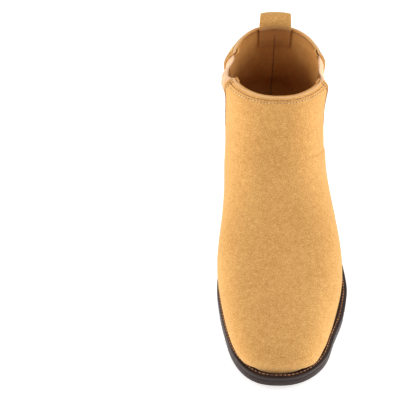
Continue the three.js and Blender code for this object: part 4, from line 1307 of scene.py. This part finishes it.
def makeUpperStitching():
    pale, brown, inside = [], [], []
    first, count = upperSeams["edge"], upperSeams["points"]
    liningFace = fullDepth + upper["lining"]
    keys = allKeys[(allKeys > 8) & (allKeys < lastKey - 0.12)]
    found, entry, leave = crossing(keys, 0)
    edgeKeys, seamKeys = keys[found], keys[~found & behindSeam(keys, 3)]
    behind, ahead = angleOf(edgeKeys, entry[found]), angleOf(edgeKeys, leave[found])
    seam = angleOf(seamKeys, patternEdges(seamKeys, 0, gap)[0])
    for side in (lateral, medial):
        for distance in (first, upperSeams["second"]):
            for at, edge, sign in ((edgeKeys, ahead, 1), (edgeKeys, behind, -1), (seamKeys, seam, -1)):
                turns = alongEdge(at, edge, distance, side, sign)
                brown.append(lifted(at, turns, -upperSeams["lift"]))
        for edge, sign in ((behind, -1), (ahead, 1)):
            turns = alongEdge(edgeKeys, edge, first, side, sign)
            inside.append(lifted(edgeKeys, turns, liningFace + upperSeams["liningLift"]))
    span = float(sideLine(lastKey, 1)[1] - sideLine(lastKey - 1, 1)[1])
    for below, rows in ((upperSeams["topFirst"], brown), (upperSeams["topSecond"], pale)):
        key = np.array([lastKey - below / span * 0.85])
        start = angleOf(key, crossing(key, 0)[2])[0] + 0.05
        turns = np.linspace(start, math.pi - start, count)
        rows.append(lifted(np.full(count, key[0]), turns, -upperSeams["topLift"]))
    backSpan = float(lowerEnd(endAt(lastKey))[1] - lowerEnd(endAt(lastKey - 1))[1])
    key = np.array([lastKey - upperSeams["topFirst"] / backSpan * 0.9])
    end = angleOf(key, crossing(key, 0)[1])[0] - 0.06
    turns = np.linspace(math.pi - end, math.pi + end, count)
    turns = np.where(turns > math.pi, turns - math.pi, turns)
    keys = np.full(count, key[0])
    beside = strap["width"] / 2 + 0.8
    for rows, depth in ((pale, -upperSeams["lift"]),
                        (inside, lambda p: liningDepth(p) + upper["lining"] + upperSeams["liningLift"])):
        line = lifted(keys, turns, depth)
        parts = (line[line[:, 0] > beside], line[line[:, 0] < -beside])
        rows += [part for part in parts if len(part) > 2]
    z = np.linspace(upper["backTop"] - 4, 60, 60)  # the lining's back seam passes under the strap
    cover = liningFace + np.where(z > upper["backTop"] - strap["sewn"], 1.95, upperSeams["liningLift"])
    cover = cover - 2.2 * eased(z, 134, 144)
    inside.append(np.column_stack([0 * z, backCurve(z) - cover, z]))
    stitchedPiece("topline_stitching", pale, upperSeams, paleThread, suedeHoleShade)
    stitchedPiece("seam_stitching", brown, upperSeams, materials["thread"], suedeHoleShade)
    stitchedPiece("lining_stitching", inside, upperSeams, brownThread, suedeHoleShade)


def makeBackStitching(keys, turns):
    rows = []
    for column in backstay["seams"]:
        at = turns[:, column]
        normals = outwards(keys, np.where(at > math.pi, at - math.pi, at))
        lift = strap["over"] + pattern["backstayThickness"] + 0.05
        rows.append(lifted(keys, at, 0.0) + normals * lift)
    top, half = upper["backTop"], strap["width"] / 2 - strap["seamInset"]
    low = top - strap["sewn"] + strap["seamInset"]
    upwards, sideways = np.linspace(low, top - 2, 20), np.linspace(-half, half, 30)
    for x, z in ((-half, upwards), (half, upwards), (sideways, low), (sideways, top - 2.5)):
        x, z = np.broadcast_arrays(x, z)
        y = backCurve(z) - backBend(x, z) + strap["over"] + strap["thickness"] + 0.1
        rows.append(np.column_stack([x, y, z]))
    stitchedPiece("back_stitching", rows, upperSeams, materials["thread"], suedeHoleShade)


weltSeam = {
    "pitch": 3.2, "length": 2.4, "radius": 0.52, "hole": 0.36, "sunk": 0.45, "end": 42,
    "innerInset": 2.0, "outerInset": 2.5,  # how far under the upper's edge it would start
}
soleSeam = {"pitch": 4.2, "length": 3.9, "radius": 0.62, "hole": 0.4, "height": 0.42, "end": 8}


def makeSoleStitching():
    points, out = outlineRun(0, breast - weltSeam["end"])
    side = np.clip(points[:, 0] / 12, -1, 1)  # 1 on the outer side, -1 on the inner side
    inner = upperReveal(medial, points[:, 1]) - weltSeam["innerInset"]
    outer = upperReveal(lateral, points[:, 1]) - weltSeam["outerInset"]
    place = points - out * mix(inner, outer, (side + 1) / 2)[:, None]
    height = weltLevel + welt["thickness"] + weltSeam["radius"] * weltSeam["sunk"]
    line = np.column_stack([place, underside(place[:, 1]) + height])
    stitchedPiece("welt_lockstitch", [line], weltSeam, weltThread, weltHoleShade, "welt_stitching")
    points = outlineRun(0, breast - soleSeam["end"])[0]
    place = solePoint(points, sole["grooveInset"])
    line = np.column_stack([place, underside(place[:, 1]) + soleSeam["height"]])
    stitchedPiece("outsole_lockstitch", [line], soleSeam, soleThread, suedeHoleShade, "outsole_stitching")


ribs = {"from": 29, "to": 130, "pitch": 2.8, "radius": 0.36, "edge": 13.5, "tone": 0.9}


def ribTree():  # a round bead along every edge of a wire mesh
    tree, given = newTree("soleRibs", {"Rib Radius": "Float", "Material": "Material"})
    curve = addNode(tree, "GeometryNodeMeshToCurve", {"Mesh": given["Geometry"]})
    profile = addNode(tree, "GeometryNodeCurvePrimitiveCircle", {
        "Resolution": 6, "Radius": given["Rib Radius"]})
    bead = addNode(tree, "GeometryNodeCurveToMesh", {
        "Fill Caps": True, "Curve": curve, "Profile Curve": profile})
    real = addNode(tree, "GeometryNodeRealizeInstances", {"Geometry": bead})
    done = addNode(tree, "GeometryNodeSetMaterial", {"Geometry": real, "Material": given["Material"]})
    addNode(tree, "NodeGroupOutput", {"Geometry": done})
    return tree


def makeRibs():
    lines = []
    for y in np.arange(ribs["from"], ribs["to"], ribs["pitch"]):
        left, right = (halfWidth(side, y, ribs["edge"]) for side in (lateral, medial))
        x = np.linspace(-right, left, 14)
        lines.append(np.column_stack([x, np.full(14, y), np.full(14, underside(y) + ribs["radius"])]))
    obj = grown(wirePiece("sole_ribs", lines), ribTree(), {
        "Rib Radius": ribs["radius"] * mm, "Material": materials["sole_leather"]})
    painted(obj, "fromEdge", np.full(len(obj.data.vertices), ribs["tone"]))
    finished(obj, "sole_leather")


makeLeatherAndLining()
print("leather and lining made")
makeElastic()
makeMiddle()
print("elastic and stiffeners made")
makeWelt()
makeOutsole()
makeHeel()
makeInsock()
makeRibs()
print("sole and heel made")
makeStrap()
backstayKeys, backstayTurns = makeBackstay()
makeUpperStitching()
makeBackStitching(backstayKeys, backstayTurns)
makeSoleStitching()
print("strap and stitching made")

slots = {row["node"]: row["material_slot"] for row in frame["record"]["subparts"]}
for name, node in frame["nodes"].items():
    if not node.hide_render:
        node.data.materials.clear()
        node.data.materials.append(materials[slots[name]])
print("frame nodes finished")

stage = {
    "floor": [(0.4, "#f3f2f0"), (0.6, "#f7f6f4")], "floorSize": 8, "glow": 0.5, "world": 0.46,
    "lights": {  # place, size and power
        "left": ((-1.15, -0.1, 0.42), 0.9, 15), "right": ((1.15, -0.1, 0.42), 0.9, 16),
        "top": ((0, 0.7, 1.3), 1.4, 3),
    },
    "lightsAim": (0, 0, 0.07),
}


def makeStage():
    material, tree, shader, where = newMaterial("paintedFloor", {
        "Roughness": 0.9, "Emission Color": (1, 1, 1, 1), "Emission Strength": stage["glow"]})
    cloud = addNode(tree, "ShaderNodeTexNoise", {"Scale": perMm(400), "Detail": 2, "Vector": where})
    tint = addNode(tree, "ShaderNodeValToRGB", {"stops": stage["floor"], "Fac": cloud})
    driven(tree, shader, base=tint.outputs[0])
    bpy.ops.mesh.primitive_plane_add(size=stage["floorSize"], location=(0, 0, 0))
    floor = bpy.context.object
    floor.name = "floor"
    floor.data.materials.append(material)
    world = bpy.data.worlds.new("studio")
    world.use_nodes = True
    background = world.node_tree.nodes["Background"]
    background.inputs["Color"].default_value = (1, 1, 1, 1)
    background.inputs["Strength"].default_value = stage["world"]
    bpy.context.scene.world = world
    for name, (place, size, power) in stage["lights"].items():
        lamp = bpy.data.lights.new(name, "AREA")
        lamp.size = size
        lamp.energy = power
        obj = bpy.data.objects.new(name, lamp)
        obj.location = place
        aim = Vector(stage["lightsAim"]) - Vector(place)
        obj.rotation_euler = aim.to_track_quat("-Z", "Y").to_euler()
        bpy.context.scene.collection.objects.link(obj)


cameraView = {
    "elevation": 41.49, "yaw": -1.39, "distance": 950, "lens": 103.97,
    "aside": 61.19, "above": -1.94, "target": (0, 150, 60),
}


def makeCamera():
    rise, yaw = math.radians(cameraView["elevation"]), math.radians(cameraView["yaw"])
    forward = Vector((math.sin(yaw) * math.cos(rise), math.cos(yaw) * math.cos(rise), -math.sin(rise)))
    right = forward.cross(Vector((0, 0, 1))).normalized()
    above = right.cross(forward)
    place = Vector(cameraView["target"]) - forward * cameraView["distance"]
    place -= right * cameraView["aside"] + above * cameraView["above"]
    data = bpy.data.cameras.new("camera")
    data.lens = cameraView["lens"]
    data.sensor_width = 36
    data.clip_start = 0.05
    camera = bpy.data.objects.new("camera", data)
    camera.location = placed([place])[0]
    camera.rotation_euler = forward.to_track_quat("-Z", "Y").to_euler()
    bpy.context.scene.collection.objects.link(camera)
    bpy.context.scene.camera = camera


makeStage()
makeCamera()
bpy.context.scene.view_settings.view_transform = "Standard"
print("boot ready")
